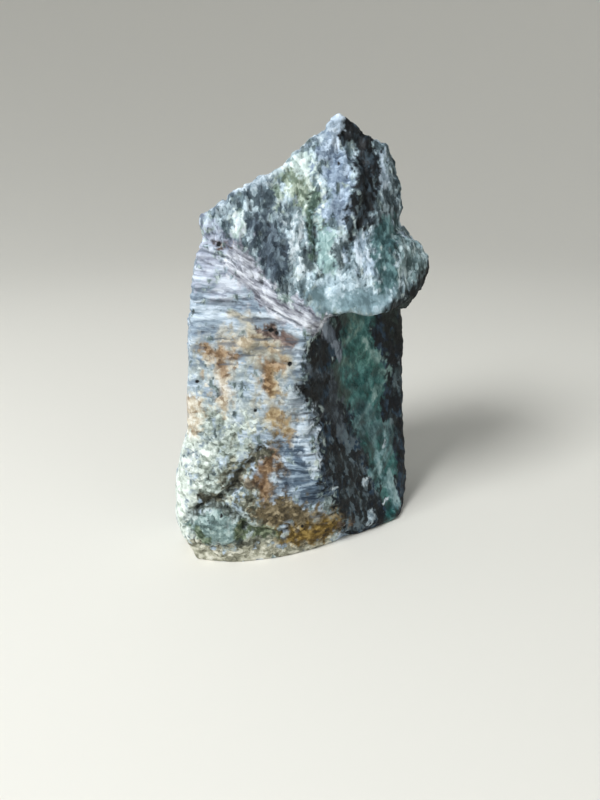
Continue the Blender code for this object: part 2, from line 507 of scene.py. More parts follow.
@dataclass(frozen=True)
class Bed:
    """A bed of rounded grains."""

    centre: Place
    reach: float


@dataclass(frozen=True)
class Relief:
    """Small forms of the skin, as heights in millimetres along its normals."""

    grain: Grain

    def summed(self, points: Array, swells: tuple[Swell, ...]) -> Array:
        """The noise of several swells added up."""
        return sum(swell.over(self.grain, points) for swell in swells)


@dataclass(frozen=True)
class CommonRelief(Relief):
    """What the whole skin has: swells and open cracks."""

    swells: tuple[Swell, ...] = (
        Swell((9, 9, 9), 0.35), Swell((4.5, 4.5, 4.5), 0.2), Swell((2.2, 2.2, 2.2), 0.11),
        Swell((1.3, 1.3, 1.3), 0.05),
    )
    open_cracks: tuple[Crack, ...] = (
        Crack(((-24, -52, 60), (-30, -48, 54), (-36, -48, 46), (-41, -48, 36), (-50, -48, 31),
               (-57, -47, 28)), 2.6, 2.2),
        Crack(((-4.6, -31, 153), (-4.4, -34, 143), (-5, -39, 131)), 1.6, 0.8),
        Crack(((15, -20, 166), (15, -28, 150), (13, -32, 142)), 2.2, 0.8),
        Crack(((-39, -50, 20), (-33, -50, 17), (-25, -49, 14)), 2.4, 1.6),
    )
    crack_waver: Swell = Swell((5, 5, 5))
    crack_stray: float = 0.6

    def swelling(self, points: Array) -> Array:
        """Low swells of four sizes."""
        return self.summed(points, self.swells)

    def cracks(self, points: Array) -> Array:
        """Open cracks.

        Args:
            points: places in millimetres.

        Returns:
            One height a point.
        """
        total = np.zeros(len(points))
        waver = self.crack_waver.over(self.grain, points)
        for crack in self.open_cracks:
            away = path_distance(points, crack.path) + self.crack_stray * crack.width * waver
            total -= crack.depth * fade(np.clip(away, 0.0, None), crack.width)
        return total


@dataclass(frozen=True)
class HeadRelief(Relief):
    """The foliated head and the edge of its overhang."""

    layout: Layout
    flutes: tuple[Swell, ...] = FLUTES
    splinters: Chips = Chips((3.2, 3.6, 6.5), 1.15, 0.25)
    plate: Swell = Swell((7, 9, 15), octaves=2)
    plate_levels: int = 3
    plate_height: float = 1.5
    plate_slope: float = 0.25
    lip: tuple[Place, ...] = ((-2, -41, 118), (10, -41, 115.5), (22, -38, 113))
    lip_reach: float = 12.0
    lip_calm: float = 0.9
    overhang_swell: Swell = Swell((15, 15, 12), 2.6, 80.0, 2)
    overhang_reach: float = 12.0
    overhang_depth: Spot = (-36.0, -22.0)

    def foliation(self, points: Array) -> Array:
        """Foliation, loose splinters and the steps of sprung plates.

        Args:
            points: places in millimetres.

        Returns:
            One height a point.
        """
        steps = self.plate_levels * self.plate.over(self.grain, points)
        plates = self.plate_height / self.plate_levels * terrace(steps, self.plate_slope)
        splinters = self.splinters.over(self.grain, points)
        rounded = 1.0 - self.lip_calm * fade(path_distance(points, self.lip), self.lip_reach)
        return (self.summed(points, self.flutes) + plates + splinters) * rounded

    def overhang(self, points: Array) -> Array:
        """Wide swells that keep the head's lower edge from running straight.

        Args:
            points: places in millimetres.

        Returns:
            One height a point.
        """
        near = fade(self.layout.under_head(points), self.overhang_reach)
        near *= ramp(points[:, 1], *self.overhang_depth)
        return self.overhang_swell.over(self.grain, points) * near


@dataclass(frozen=True)
class FrontRelief(Relief):
    """The rasped front, the bites in its edge and its small pits."""

    layout: Layout
    stroke_pitch: float = 1.9
    stroke_height: float = 0.42
    stroke_slope: float = 0.06
    stroke_waver: Swell = Swell((9, 9, 7), 0.9)
    stroke_patch: Swell = Swell((15, 15, 9), shift=40.0)
    stroke_patch_limits: Spot = (-0.45, 0.35)
    stroke_turn: Spot = (-16.0, -3.0)
    high_strokes: Spot = (80.0, 105.0)
    low_strokes: float = 0.25
    edge_strokes: float = 0.7
    edge_start: float = 4.0
    edge_reach: float = 12.0
    gouge: Swell = Swell((15, 10, 2.0), octaves=2)
    gouge_height: float = 0.9
    gouge_top: float = 0.15
    tongue_pitch: float = 4.4
    tongue_depth: float = 1.3
    tongue_reach: float = 4.5
    tongue_waver: Swell = Swell((14, 14, 8), 0.8)
    tongue_start: Spot = (0.0, 6.0)
    pits: tuple[Pit, ...] = (
        Pit((7.3, 175.2), 1.0, 1.0), Pit((5.0, 164.5), 0.8, 0.9), Pit((9.5, 172.5), 0.7, 0.7),
        Pit((-15.5, 91.8), 1.1, 1.1), Pit((-52.7, 85.2), 0.9, 0.9), Pit((-30.0, 72.5), 0.8, 0.8),
        Pit((-9.6, 80.0), 1.4, 1.4), Pit((-9.0, 75.5), 1.0, 1.0), Pit((-46.7, 25.0), 0.8, 0.8),
        Pit((-12.2, 15.5), 0.9, 0.8), Pit((-17.5, 17.5), 0.6, 0.6), Pit((-41.0, 137.5), 1.0, 0.8),
        Pit((-22.4, 105.4), 1.2, 0.6), Pit((-20.4, 104.2), 1.0, 0.5),
    )
    pit_width: float = 1.3
    pit_rim: float = 1.5
    pit_shake: Swell = Swell((1.5, 1.5, 1.5), 0.4)

    def _strokes(self, points: Array, level: Array, patch: Array) -> Array:
        """Strokes and gouges along lines of one level.

        Args:
            points: places in millimetres.
            level: distance across the strokes.
            patch: how far the strokes show at each point.

        Returns:
            One height a point.
        """
        lane = np.stack([points[:, 0], points[:, 1], level], axis=1)
        tooth = (level / self.stroke_pitch + self.stroke_waver.over(self.grain, points)) % 1.0
        gouges = self.gouge_height * np.minimum(self.gouge.over(self.grain, lane), self.gouge_top)
        return self.stroke_height * (tooth - 0.5) * patch + gouges

    def rasp(self, points: Array) -> Array:
        """Strokes across the pale front, which turn to follow the seam near it.

        Args:
            points: places in millimetres.

        Returns:
            One height a point.
        """
        above = self.layout.above_seam(points)
        turn = ramp(above, *self.stroke_turn)
        patch = ramp(self.stroke_patch.over(self.grain, points), *self.stroke_patch_limits)
        patch = np.maximum(patch, turn)
        level = self._strokes(points, points[:, 2] + self.stroke_slope * points[:, 0], patch)
        strokes = level + turn * (self._strokes(points, above, patch) - level)
        by_edge = fade(self.layout.past(points, self.layout.arris) + self.edge_start, self.edge_reach)
        high = ramp(points[:, 2], *self.high_strokes)
        upper = self.low_strokes + (1.0 - self.low_strokes) * high
        return strokes * np.maximum(upper, self.edge_strokes * by_edge)

    def tongues(self, points: Array) -> Array:
        """Bites in the edge between the pale front and the recess.

        Args:
            points: places in millimetres.

        Returns:
            One height a point.
        """
        beside = self.layout.past(points, self.layout.arris)
        lane = points[:, 2] / self.tongue_pitch + self.tongue_waver.over(self.grain, points)
        bite = np.abs((lane % 1.0) - 0.5) * 2.0
        below = ramp(self.layout.under_head(points), *self.tongue_start)
        return -self.tongue_depth * bite * fade(beside, self.tongue_reach) * below

    def holes(self, points: Array) -> Array:
        """Small pits in the front, as heights.

        Args:
            points: places in millimetres.

        Returns:
            One height a point.
        """
        total = np.zeros(len(points))
        for pit in self.pits:
            away = np.linalg.norm(points[:, [0, 2]] - np.array(pit.centre), axis=1)
            total -= pit.depth * fade(away, self.pit_width * pit.radius)
        return total

    def pit_cover(self, points: Array) -> Array:
        """One in the middle of each pit and nothing past its rim.

        Args:
            points: places in millimetres.

        Returns:
            One cover a point.
        """
        best = np.zeros(len(points))
        strayed = self.pit_shake.moved(self.grain, points)[:, [0, 2]]
        for pit in self.pits:
            away = np.linalg.norm(strayed - np.array(pit.centre), axis=1)
            best = np.maximum(best, 1.0 - away / (self.pit_rim * pit.radius))
        return best


@dataclass(frozen=True)
class FootRelief(Relief):
    """The grains bedded in the foot and the stone caught among them."""

    pebble: Place = (3.1, 3.1, 2.8)
    pebble_height: float = 1.15
    pebble_round: float = 0.5
    pebble_step: float = 0.7
    pebble_sink: float = 0.1
    pebble_shake: Swell = Swell((4, 4, 4), 0.8)
    pebble_beds: tuple[Bed, ...] = (
        Bed((-52, -48, 52), 17), Bed((-40, -50, 30), 15), Bed((-50, -50, 14), 13),
        Bed((-18, -48, 18), 12),
    )
    pebble_core: float = 0.6
    lump: Place = (-50, -49, 19.5)
    lump_size: Place = (11.5, 11.0, 9.8)
    lump_height: float = 1.9
    lump_shake: Swell = Swell((9, 9, 9), 3.0, 11.0, 3, 0.6)
    lump_groove: float = 0.9
    groove_ring: float = 1.1
    groove_width: float = 0.22

    def pebbles(self, points: Array) -> Array:
        """Rounded grains bedded in the foot.

        Args:
            points: places in millimetres.

        Returns:
            One height a point.
        """
        rim, level = self.grain.cells(self.pebble_shake.moved(self.grain, points), self.pebble)
        rounded = np.minimum(rim, self.pebble_round) + self.pebble_step * (level - 0.5)
        bedded = np.zeros(len(points))
        for bed in self.pebble_beds:
            away = np.linalg.norm(points - np.array(bed.centre), axis=1)
            bedded = np.maximum(bedded, ramp(away, bed.reach, self.pebble_core * bed.reach))
        return (self.pebble_height * rounded - self.pebble_sink) * bedded

    def knob(self, points: Array) -> Array:
        """The rounded stone caught in the foot and the groove around it.

        Args:
            points: places in millimetres.

        Returns:
            One height a point.
        """
        strayed = self.lump_shake.moved(self.grain, points)
        out = np.linalg.norm((strayed - np.array(self.lump)) / np.array(self.lump_size), axis=1)
        raised = self.lump_height * np.sqrt(np.clip(1.0 - out**2, 0.0, 1.0))
        return raised - self.lump_groove * fade(np.abs(out - self.groove_ring), self.groove_width)


@dataclass(frozen=True)
class RecessRelief(Relief):
    """The rough dark wall of the recess and the broken face beside it."""

    wall_lean: float = 0.35
    wall_chips: Chips = Chips((4, 4, 9), 0.9, 0.2)
    wall_grain: Swell = Swell((2.5, 2.5, 8), 0.35, octaves=2)
    crest: tuple[Place, ...] = (
        (18.2, -8.8, 88.0), (23.3, -5.0, 82.8), (27.0, -3.2, 76.7), (29.5, -1.2, 70), (29.0, -2.2, 65),
        (23.8, -5.8, 62.2), (15.3, -16.1, 55.6),
    )
    crest_height: float = 0.8
    crest_width: float = 3.0
    ripple_centre: Place = (2, -20, 106)
    ripple_pitch: float = 7.5
    ripple_height: float = 0.16
    ripple_waver: Swell = Swell((14, 14, 14), 0.7)
    glass_swell: Swell = Swell((6, 6, 12), 0.25)

    def wall(self, points: Array) -> Array:
        """Slanting chips and grain on the wall.

        Args:
            points: places in millimetres.

        Returns:
            One height a point.
        """
        slant = points.copy()
        slant[:, 0] += self.wall_lean * points[:, 2]
        return self.wall_chips.over(self.grain, slant) + self.wall_grain.over(self.grain, slant)

    def glass(self, points: Array) -> Array:
        """Shell-like ripples and the crest on the smooth broken face.

        Args:
            points: places in millimetres.

        Returns:
            One height a point.
        """
        away = np.linalg.norm(points - np.array(self.ripple_centre), axis=1)
        waver = self.ripple_waver.over(self.grain, points)
        waves = np.sin(2.0 * np.pi * (away / self.ripple_pitch + waver))
        crest = self.crest_height * fade(path_distance(points, self.crest), self.crest_width)
        return self.ripple_height * waves + crest + self.glass_swell.over(self.grain, points)


@dataclass(frozen=True)
class BackRelief(Relief):
    """The weathered sides and back."""

    flutes: tuple[Swell, ...] = FLUTES
    plate: Swell = Swell((13, 13, 30), 3.0, 60.0, 3)
    plate_height: float = 0.55
    plate_slope: float = 0.3
    chips: Chips = Chips((3.2, 3.2, 6.5), 0.4, 0.3)
    flute_share: float = 0.6

    def weathering(self, points: Array) -> Array:
        """Shallow plates and a coarse grain.

        Args:
            points: places in millimetres.

        Returns:
            One height a point.
        """
        steps = self.plate.over(self.grain, points)
        plates = self.plate_height * terrace(steps, self.plate_slope)
        chips = self.chips.over(self.grain, points)
        return plates + chips + self.flute_share * self.summed(points, self.flutes)


@dataclass(frozen=True)
class Streak:
    """A band of colour along a path on the front, as (x, z), and half its width."""

    path: tuple[Spot, ...]
    reach: float


@dataclass(frozen=True)
class Tint:
    """One colour laid on the stone: three tones, its grain and what it covers. Some tints are the stone's
    own colour, some are painted light and shade.
    """

    name: str
    dark: Tone
    middle: Tone
    light: Tone
    pattern: Pattern
    cover: tuple[Streak, ...] = ()
    area: Area | None = None
    ragged: float = 1.0
    soft: float = 0.09
    strength: float = 1.0
    roughness: float = 0.62

    def field(self, flat: Array) -> Array:
        """Cover of every point: a half on the border, one in the middle.

        Args:
            flat: places as (x, z) in millimetres.

        Returns:
            One share a point.
        """
        best = np.full(len(flat), -1.0)
        for streak in self.cover:
            away = path_distance(flat, streak.path)
            best = np.maximum(best, 1.0 - away / (2.0 * streak.reach))
        return best


RAW = Tint("raw", (58, 69, 70), (110, 125, 125), (180, 193, 192), Pattern.UPRIGHT)

BACK_TINTS: tuple[Tint, ...] = (
    Tint("deep_patch", (26, 36, 42), (64, 78, 86), (122, 138, 145), Pattern.UPRIGHT, area=Area.DEEP),
    Tint("pale_patch", (92, 106, 108), (158, 172, 176), (216, 226, 230), Pattern.UPRIGHT, area=Area.PALE),
    Tint("teal_patch", (36, 58, 58), (78, 106, 104), (140, 166, 162), Pattern.UPRIGHT, area=Area.TEAL,
         strength=0.8),
    Tint("pale_sheet", (120, 140, 134), (180, 198, 192), (224, 235, 231), Pattern.UPRIGHT, area=Area.VEIN,
         ragged=0.5, strength=0.85),
    Tint("back_stain", (84, 66, 46), (138, 118, 92), (186, 170, 146), Pattern.ROUND, area=Area.STAIN,
         soft=0.25, strength=0.6),
)

AREA_TINTS: tuple[Tint, ...] = (
    # The recess's right flank: dark stone, its tones darkened with painted shade where it turns from the
    # light.
    Tint("flank", (3, 14, 17), (12, 34, 39), (42, 74, 81), Pattern.SLANTED, area=Area.FLANK,
         ragged=0.5, roughness=0.5),
    Tint("head", (50, 66, 73), (114, 133, 141), (200, 217, 226), Pattern.UPRIGHT, area=Area.HEAD),
    Tint("front", (98, 113, 129), (150, 166, 181), (208, 221, 234), Pattern.LEVEL, area=Area.FRONT),
    # The recess wall: dark stone, its tones darkened further with painted shade.
    Tint("band", (1, 5, 12), (4, 14, 24), (36, 58, 76), Pattern.SLANTED, area=Area.BAND,
         ragged=0.6, roughness=0.6),
    Tint("glass", (17, 51, 50), (38, 86, 85), (80, 131, 129), Pattern.CLOUDY, area=Area.GLASS,
         ragged=0.35, roughness=0.34),
    # Pale tones on the upward faces of the head: painted highlight from above.
    Tint("crown", (96, 110, 120), (164, 180, 192), (220, 232, 241), Pattern.UPRIGHT, area=Area.CROWN,
         ragged=0.6, soft=0.2),
)

HEAD_TINTS: tuple[Tint, ...] = (
    Tint("lilac_left", (74, 80, 94), (118, 127, 143), (176, 187, 204), Pattern.UPRIGHT,
         (Streak(((-47, 146), (-43, 138)), 6.5),)),
    Tint("slate", (40, 53, 61), (86, 101, 110), (160, 176, 184), Pattern.UPRIGHT,
         (Streak(((-26, 158), (-22, 148), (-24, 138), (-22, 129)), 7.2),
          Streak(((-37, 151), (-36, 144)), 4.0))),
    Tint("slate_core", (32, 43, 53), (64, 77, 89), (110, 126, 136), Pattern.UPRIGHT,
         (Streak(((-23, 142), (-20, 131), (-19, 124)), 5.4),), ragged=0.6),
    Tint("green_vein", (96, 112, 98), (148, 166, 156), (216, 228, 220), Pattern.UPRIGHT,
         (Streak(((-14, 169), (-11, 160), (-6, 150)), 6.5),)),
    Tint("olive", (70, 83, 66), (110, 123, 102), (168, 181, 160), Pattern.UPRIGHT,
         (Streak(((-12, 160), (-10, 152)), 3.4), Streak(((-1, 148), (0, 140)), 2.6)), strength=0.7),
    Tint("white_vein", (146, 166, 162), (198, 214, 211), (232, 241, 240), Pattern.UPRIGHT,
         (Streak(((-18, 168), (-9, 167), (-7, 162)), 2.4), Streak(((-3, 163), (-1.5, 154), (-1, 144)), 1.7),
          Streak(((-34, 147), (-33.5, 139)), 1.5)), ragged=1.3, strength=0.9),
    Tint("crystal", (58, 72, 78), (135, 152, 159), (214, 224, 230), Pattern.UPRIGHT,
         (Streak(((-13, 146), (-9, 138), (-10, 128), (-14, 122)), 3.4),), strength=0.9),
    Tint("green_streak", (40, 54, 48), (66, 86, 76), (112, 134, 120), Pattern.UPRIGHT,
         (Streak(((-4.5, 152), (-5, 143), (-5.5, 131)), 1.8),), ragged=0.6),
    Tint("pale_teal", (112, 142, 142), (156, 184, 184), (204, 223, 223), Pattern.UPRIGHT,
         (Streak(((0, 140), (0, 130), (-1, 122)), 5.0),), ragged=0.8),
    Tint("pocket", (38, 48, 54), (76, 90, 94), (130, 144, 148), Pattern.UPRIGHT,
         (Streak(((-8, 135), (-7, 128)), 2.4), Streak(((7, 138), (6, 130)), 2.2))),
    Tint("lavender", (88, 104, 124), (136, 153, 172), (186, 203, 221), Pattern.ROUND,
         (Streak(((6, 179), (2, 172), (3, 164), (6, 155), (7, 147)), 5.4),), ragged=0.8),
    Tint("peak_light", (134, 150, 166), (184, 200, 216), (220, 232, 244), Pattern.ROUND,
         (Streak(((1, 182), (6, 180), (5, 174)), 3.8),), ragged=0.6, soft=0.15),
    Tint("right_side", (36, 48, 52), (74, 88, 94), (136, 151, 158), Pattern.UPRIGHT,
         (Streak(((23, 169), (24, 155), (24, 142)), 6.0),)),
    Tint("right_gleam", (104, 118, 128), (146, 160, 172), (190, 203, 214), Pattern.UPRIGHT,
         (Streak(((22, 166), (23, 158)), 1.7),)),
    Tint("low_gleam", (108, 126, 140), (168, 187, 203), (218, 231, 243), Pattern.UPRIGHT,
         (Streak(((15, 147), (13, 138), (15, 126)), 3.4),)),
    Tint("black_band", (2, 4, 7), (12, 18, 23), (58, 71, 80), Pattern.UPRIGHT,
         (Streak(((13, 177), (14.5, 170), (15.5, 160), (14.5, 151), (13, 144)), 5.0),
          Streak(((6, 172.5), (11, 173)), 1.8), Streak(((8, 146), (9, 138)), 1.9)), ragged=0.45,
         roughness=0.5),
    Tint("teal_spot", (34, 60, 63), (62, 92, 95), (102, 133, 135), Pattern.UPRIGHT,
         (Streak(((24, 138), (25, 128), (22, 119)), 5.6),), ragged=0.7),
    Tint("bulge", (66, 84, 86), (126, 147, 150), (194, 211, 214), Pattern.UPRIGHT,
         (Streak(((34, 132), (37, 126), (36, 120)), 6.0),)),
    Tint("pillow", (90, 112, 119), (128, 153, 162), (178, 198, 209), Pattern.CLOUDY,
         (Streak(((-3, 117), (10, 115), (23, 113)), 5.2),), ragged=0.7, soft=0.2, roughness=0.5),
    Tint("pillow_light", (138, 159, 171), (186, 206, 217), (222, 235, 243), Pattern.ROUND,
         (Streak(((-4, 121), (4, 122), (12, 121)), 3.4),), ragged=1.1, strength=0.85),
    # Painted shadow on the underside of the bulge.
    Tint("under_bulge", (3, 6, 8), (14, 20, 22), (52, 62, 66), Pattern.UPRIGHT,
         (Streak(((26, 111), (32, 112), (38, 115), (43, 119), (46, 125)), 3.8),), ragged=0.6, soft=0.2),
    # Painted highlight along the slanted top-left edge of the head.
    Tint("frost", (112, 128, 142), (172, 188, 200), (220, 231, 239), Pattern.UPRIGHT,
         (Streak(((-47, 148.5), (-26, 160.5), (-10, 169), (0, 177)), 1.8),), ragged=0.8, soft=0.15,
         strength=0.6),
)

FRONT_TINTS: tuple[Tint, ...] = (
    Tint("lilac_front", (124, 128, 146), (178, 183, 199), (218, 224, 236), Pattern.LEVEL,
         (Streak(((-46, 133), (-38, 125)), 8.0),), strength=0.7, soft=0.2),
    Tint("pink_ledge", (94, 95, 106), (164, 167, 178), (224, 228, 237), Pattern.SEAM,
         (Streak(((-34, 131), (-25, 121), (-14, 113), (-2, 106)), 4.4),), ragged=0.5),
    Tint("grey_ground", (104, 114, 121), (144, 154, 158), (192, 201, 205), Pattern.ROUND,
         (Streak(((-22, 92), (-18, 80), (-16, 68)), 8.0),), soft=0.25, strength=0.8),
    Tint("pale_mid", (122, 132, 133), (168, 178, 178), (212, 221, 219), Pattern.ROUND,
         (Streak(((-50, 90), (-36, 86)), 6.5), Streak(((-52, 74), (-34, 74)), 9.0)), soft=0.25,
         strength=0.85),
    Tint("grey_mid", (70, 80, 90), (118, 130, 139), (188, 199, 208), Pattern.LEVEL,
         (Streak(((-14, 76), (-13, 62)), 5.0),), ragged=1.0, soft=0.2),
    Tint("blue_low", (32, 46, 62), (84, 102, 120), (164, 183, 200), Pattern.LEVEL,
         (Streak(((-15, 54), (-12, 42), (-7, 30)), 10.0),), ragged=0.8, soft=0.2),
    Tint("tongue_light", (124, 140, 155), (186, 201, 215), (230, 240, 250), Pattern.LEVEL,
         (Streak(((-11, 69), (-10, 60)), 3.4), Streak(((-9, 56), (-6, 44)), 2.0)), ragged=1.3, soft=0.15),
    Tint("granular", (84, 93, 84), (154, 165, 158), (218, 229, 223), Pattern.ROUND,
         (Streak(((-58, 66), (-46, 60), (-38, 56)), 10.0), Streak(((-50, 44), (-48, 34)), 12.0)), soft=0.2),
    Tint("foot_grey", (80, 89, 86), (142, 154, 152), (198, 210, 209), Pattern.ROUND,
         (Streak(((-62, 20), (-48, 18), (-32, 18)), 12.0),), ragged=0.4),
    Tint("gritty", (54, 54, 42), (110, 113, 100), (180, 182, 166), Pattern.ROUND,
         (Streak(((-36, 46), (-35, 30), (-28, 18)), 7.5), Streak(((-38, 12), (-26, 9)), 5.0)), soft=0.15),
    Tint("tan_wash", (110, 110, 100), (158, 157, 144), (202, 201, 189), Pattern.LEVEL,
         (Streak(((-29, 101), (-24, 99), (-21, 94)), 7.0),), ragged=0.4, soft=0.5, strength=0.8),
    Tint("tan_halo", (124, 114, 96), (166, 158, 138), (202, 197, 181), Pattern.ROUND,
         (Streak(((-46, 97), (-36, 101), (-27, 104), (-22, 98), (-24, 86), (-24, 76), (-21, 66)), 5.0),),
         ragged=0.9, soft=0.4, strength=0.65),
    Tint("tan_line", (146, 139, 120), (192, 184, 164), (226, 220, 206), Pattern.SEAM,
         (Streak(((-39, 111.5), (-31, 108.5), (-24, 105), (-18.5, 101.5)), 1.3),), ragged=0.35, soft=0.3,
         strength=0.8),
    Tint("cream_rust", (150, 126, 101), (194, 175, 149), (224, 213, 195), Pattern.ROUND,
         (Streak(((-44, 93), (-43, 85), (-44, 77)), 4.6), Streak(((-57, 78), (-57, 64)), 3.4)), ragged=0.8,
         soft=0.35, strength=0.75),
    Tint("rust_arc", (124, 104, 80), (164, 145, 116), (202, 188, 164), Pattern.ROUND,
         (Streak(((-47, 97), (-41, 98), (-36, 101), (-27.5, 104), (-23, 100), (-18, 95)), 1.9),), ragged=0.8,
         soft=0.35, strength=0.7),
    Tint("rust_wash", (46, 38, 30), (92, 81, 67), (148, 137, 121), Pattern.ROUND,
         (Streak(((-26, 53), (-26.5, 45), (-26, 37), (-25, 27)), 5.4), Streak(((-34, 40), (-28, 36)), 2.8)),
         ragged=0.9, soft=0.3, strength=0.9),
    Tint("gold", (124, 98, 61), (164, 139, 97), (202, 184, 148), Pattern.ROUND,
         (Streak(((-23, 71), (-21, 66), (-17, 61)), 2.8), Streak(((-22.5, 90), (-22.5, 81)), 2.4)),
         ragged=0.7, soft=0.35, strength=0.8),
    Tint("rust", (72, 50, 31), (116, 88, 60), (166, 138, 106), Pattern.ROUND,
         (Streak(((-24.5, 92.5), (-18.5, 92.5)), 1.7), Streak(((-24, 91.5), (-24.5, 84)), 2.1),
          Streak(((-26.5, 54), (-27, 46), (-27.5, 37), (-27, 28)), 3.0),
          Streak(((-47, 98), (-42, 97), (-37, 95.5)), 2.3), Streak(((-43, 92), (-42, 88)), 1.6)), ragged=0.7,
         soft=0.3, strength=0.85),
    Tint("brown", (42, 34, 32), (86, 71, 66), (140, 125, 116), Pattern.ROUND,
         (Streak(((-40.5, 137),), 1.9), Streak(((-25, 107), (-21, 105)), 2.6)), soft=0.15),
    Tint("brown_tail", (76, 58, 54), (120, 101, 95), (168, 152, 144), Pattern.SEAM,
         (Streak(((-20, 104), (-15, 101.5)), 2.1),), ragged=0.6, soft=0.2, strength=0.9),
    # Painted highlight on the rounded lower left edge, where it faces the light.
    Tint("cream", (148, 158, 148), (210, 219, 211), (242, 247, 244), Pattern.ROUND,
         (Streak(((-62, 56), (-65, 42), (-68, 28), (-66, 10)), 7.5),), soft=0.2),
    Tint("lump", (66, 84, 82), (116, 137, 135), (170, 188, 185), Pattern.ROUND,
         (Streak(((-54, 20), (-46, 19)), 7.6),), ragged=0.5),
    # Painted shadow in the groove around the lump.
    Tint("lump_rim", (18, 22, 18), (46, 53, 46), (96, 104, 96), Pattern.ROUND,
         (Streak(((-60, 27), (-54, 30), (-47, 29), (-40, 25)), 1.5), Streak(((-38, 21), (-41, 11)), 1.3)),
         ragged=0.8, soft=0.2, strength=0.85),
    # Dark green stone beside the lump, with painted shade in the pocket to its right.
    Tint("moss", (44, 56, 34), (84, 98, 72), (138, 149, 122), Pattern.ROUND,
         (Streak(((-57, 18), (-56, 11)), 2.4), Streak(((-38, 18), (-26, 13)), 2.8)), strength=0.85),
    # Painted highlight along the bottom front edge.
    Tint("bottom_cream", (96, 95, 80), (162, 161, 143), (216, 214, 200), Pattern.ROUND,
         (Streak(((-62, 4), (-44, 2.5), (-30, 3.5), (-12, 4), (0, 5)), 4.8),), ragged=0.7),
    Tint("ochre_wash", (60, 52, 36), (100, 88, 64), (150, 137, 110), Pattern.ROUND,
         (Streak(((-27, 25), (-14, 21), (5, 13)), 6.6),), ragged=0.7, soft=0.2),
    Tint("ochre", (50, 37, 9), (102, 80, 30), (156, 131, 72), Pattern.ROUND,
         (Streak(((-19, 13), (-8, 12), (4, 11)), 5.4),), ragged=0.5, soft=0.2),
    Tint("brown_foot", (30, 22, 16), (74, 60, 48), (132, 114, 96), Pattern.ROUND,
         (Streak(((6, 11), (16, 8)), 3.0),), soft=0.15),
    # Painted shade along the crack at the lower left.
    Tint("groove", (26, 26, 20), (62, 62, 51), (110, 109, 94), Pattern.ROUND,
         (Streak(((-28, 56), (-33, 50), (-38, 43), (-42, 37)), 2.8), Streak(((-46, 34), (-53, 33)), 2.0)),
         ragged=1.1, soft=0.15),
)

RECESS_TINTS: tuple[Tint, ...] = (
    Tint("glass_shade", (18, 35, 33), (40, 64, 60), (74, 100, 94), Pattern.CLOUDY,
         (Streak(((5, 103), (9, 104)), 3.6), Streak(((14, 107), (22, 106)), 2.4),
          Streak(((3, 82), (4, 74), (9, 66)), 2.8)), ragged=0.4, soft=0.3, roughness=0.36),
    Tint("glass_smear", (56, 80, 73), (90, 114, 104), (126, 147, 136), Pattern.CLOUDY,
         (Streak(((14, 100), (9, 91)), 2.0), Streak(((7, 84), (13, 77)), 1.2)), ragged=0.8, soft=0.35,
         strength=0.65, roughness=0.32),
    Tint("glass_bright", (32, 76, 72), (62, 114, 107), (118, 164, 157), Pattern.CLOUDY,
         (Streak(((16, 87), (18, 80), (21, 76)), 4.4),), ragged=0.6, soft=0.35, strength=0.9,
         roughness=0.28),
    Tint("glass_deep", (20, 60, 60), (42, 94, 93), (86, 138, 136), Pattern.CLOUDY,
         (Streak(((14, 74), (21, 69), (25, 66)), 4.0),), ragged=0.6, soft=0.35, strength=0.9,
         roughness=0.28),
    Tint("glass_low", (28, 51, 54), (54, 84, 88), (98, 131, 134), Pattern.CLOUDY,
         (Streak(((16, 58), (19, 50), (23, 42)), 4.2), Streak(((30, 44), (32, 30)), 3.2)), ragged=0.6,
         soft=0.3, roughness=0.36),
    Tint("slate_slab", (66, 75, 88), (94, 104, 117), (132, 142, 155), Pattern.SLANTED,
         (Streak(((-2, 104.5), (2.2, 96), (6, 87)), 2.3),), ragged=0.35, soft=0.12, roughness=0.5),
    Tint("slate_step", (22, 29, 35), (44, 53, 62), (82, 93, 102), Pattern.SLANTED,
         (Streak(((-8, 91), (-1, 79), (5, 67)), 1.8), Streak(((1, 66), (5, 58), (8, 50)), 3.0)), ragged=0.6,
         roughness=0.5),
    # Painted shade in the recess, by the edge and under the overhang.
    Tint("black_pocket", (1, 2, 4), (4, 8, 12), (26, 36, 43), Pattern.SLANTED,
         (Streak(((-9, 81), (-3, 77)), 3.6), Streak(((-7, 98), (-2.5, 88)), 2.6),
          Streak(((4, 106), (6, 99)), 1.3)), ragged=0.5, roughness=0.6),
    # Painted shade in the upper right corner of the recess, under the overhang.
    Tint("dark_corner", (2, 7, 6), (10, 19, 17), (34, 46, 43), Pattern.SLANTED,
         (Streak(((32, 107), (32, 97), (34, 88)), 4.6),), ragged=0.6, roughness=0.5),
    Tint("low_flecks", (4, 9, 13), (19, 30, 35), (90, 105, 113), Pattern.SLANTED,
         (Streak(((6, 44), (10, 32), (14, 20), (18, 8)), 6.5),), roughness=0.5),
    Tint("crest_gleam", (92, 126, 123), (134, 165, 161), (178, 200, 197), Pattern.CLOUDY,
         (Streak(((17.5, 89), (22, 84), (25, 80)), 1.9), Streak(((29, 72), (29, 66), (22, 62)), 1.8)),
         ragged=1.5, soft=0.45, strength=0.65, roughness=0.3),
    Tint("right_slate", (30, 42, 46), (64, 78, 84), (112, 128, 132), Pattern.SLANTED,
         (Streak(((35, 68), (36, 60)), 2.4), Streak(((33, 52), (33, 46)), 1.6)), ragged=0.8, strength=0.8),
    Tint("low_teal", (44, 76, 80), (90, 126, 130), (152, 180, 184), Pattern.CLOUDY,
         (Streak(((28, 36), (24, 30), (28, 22)), 3.0), Streak(((31, 22), (33, 14), (34, 6)), 2.4)),
         ragged=0.7, soft=0.2, roughness=0.4),
    Tint("white_specks", (112, 128, 138), (174, 189, 198), (220, 229, 235), Pattern.ROUND,
         (Streak(((28, 36),), 1.4), Streak(((17, 25), (19, 24)), 1.3), Streak(((3, 30),), 0.9),
          Streak(((21, 9), (22, 5)), 1.8), Streak(((29, 10),), 0.9)), ragged=0.7),
)


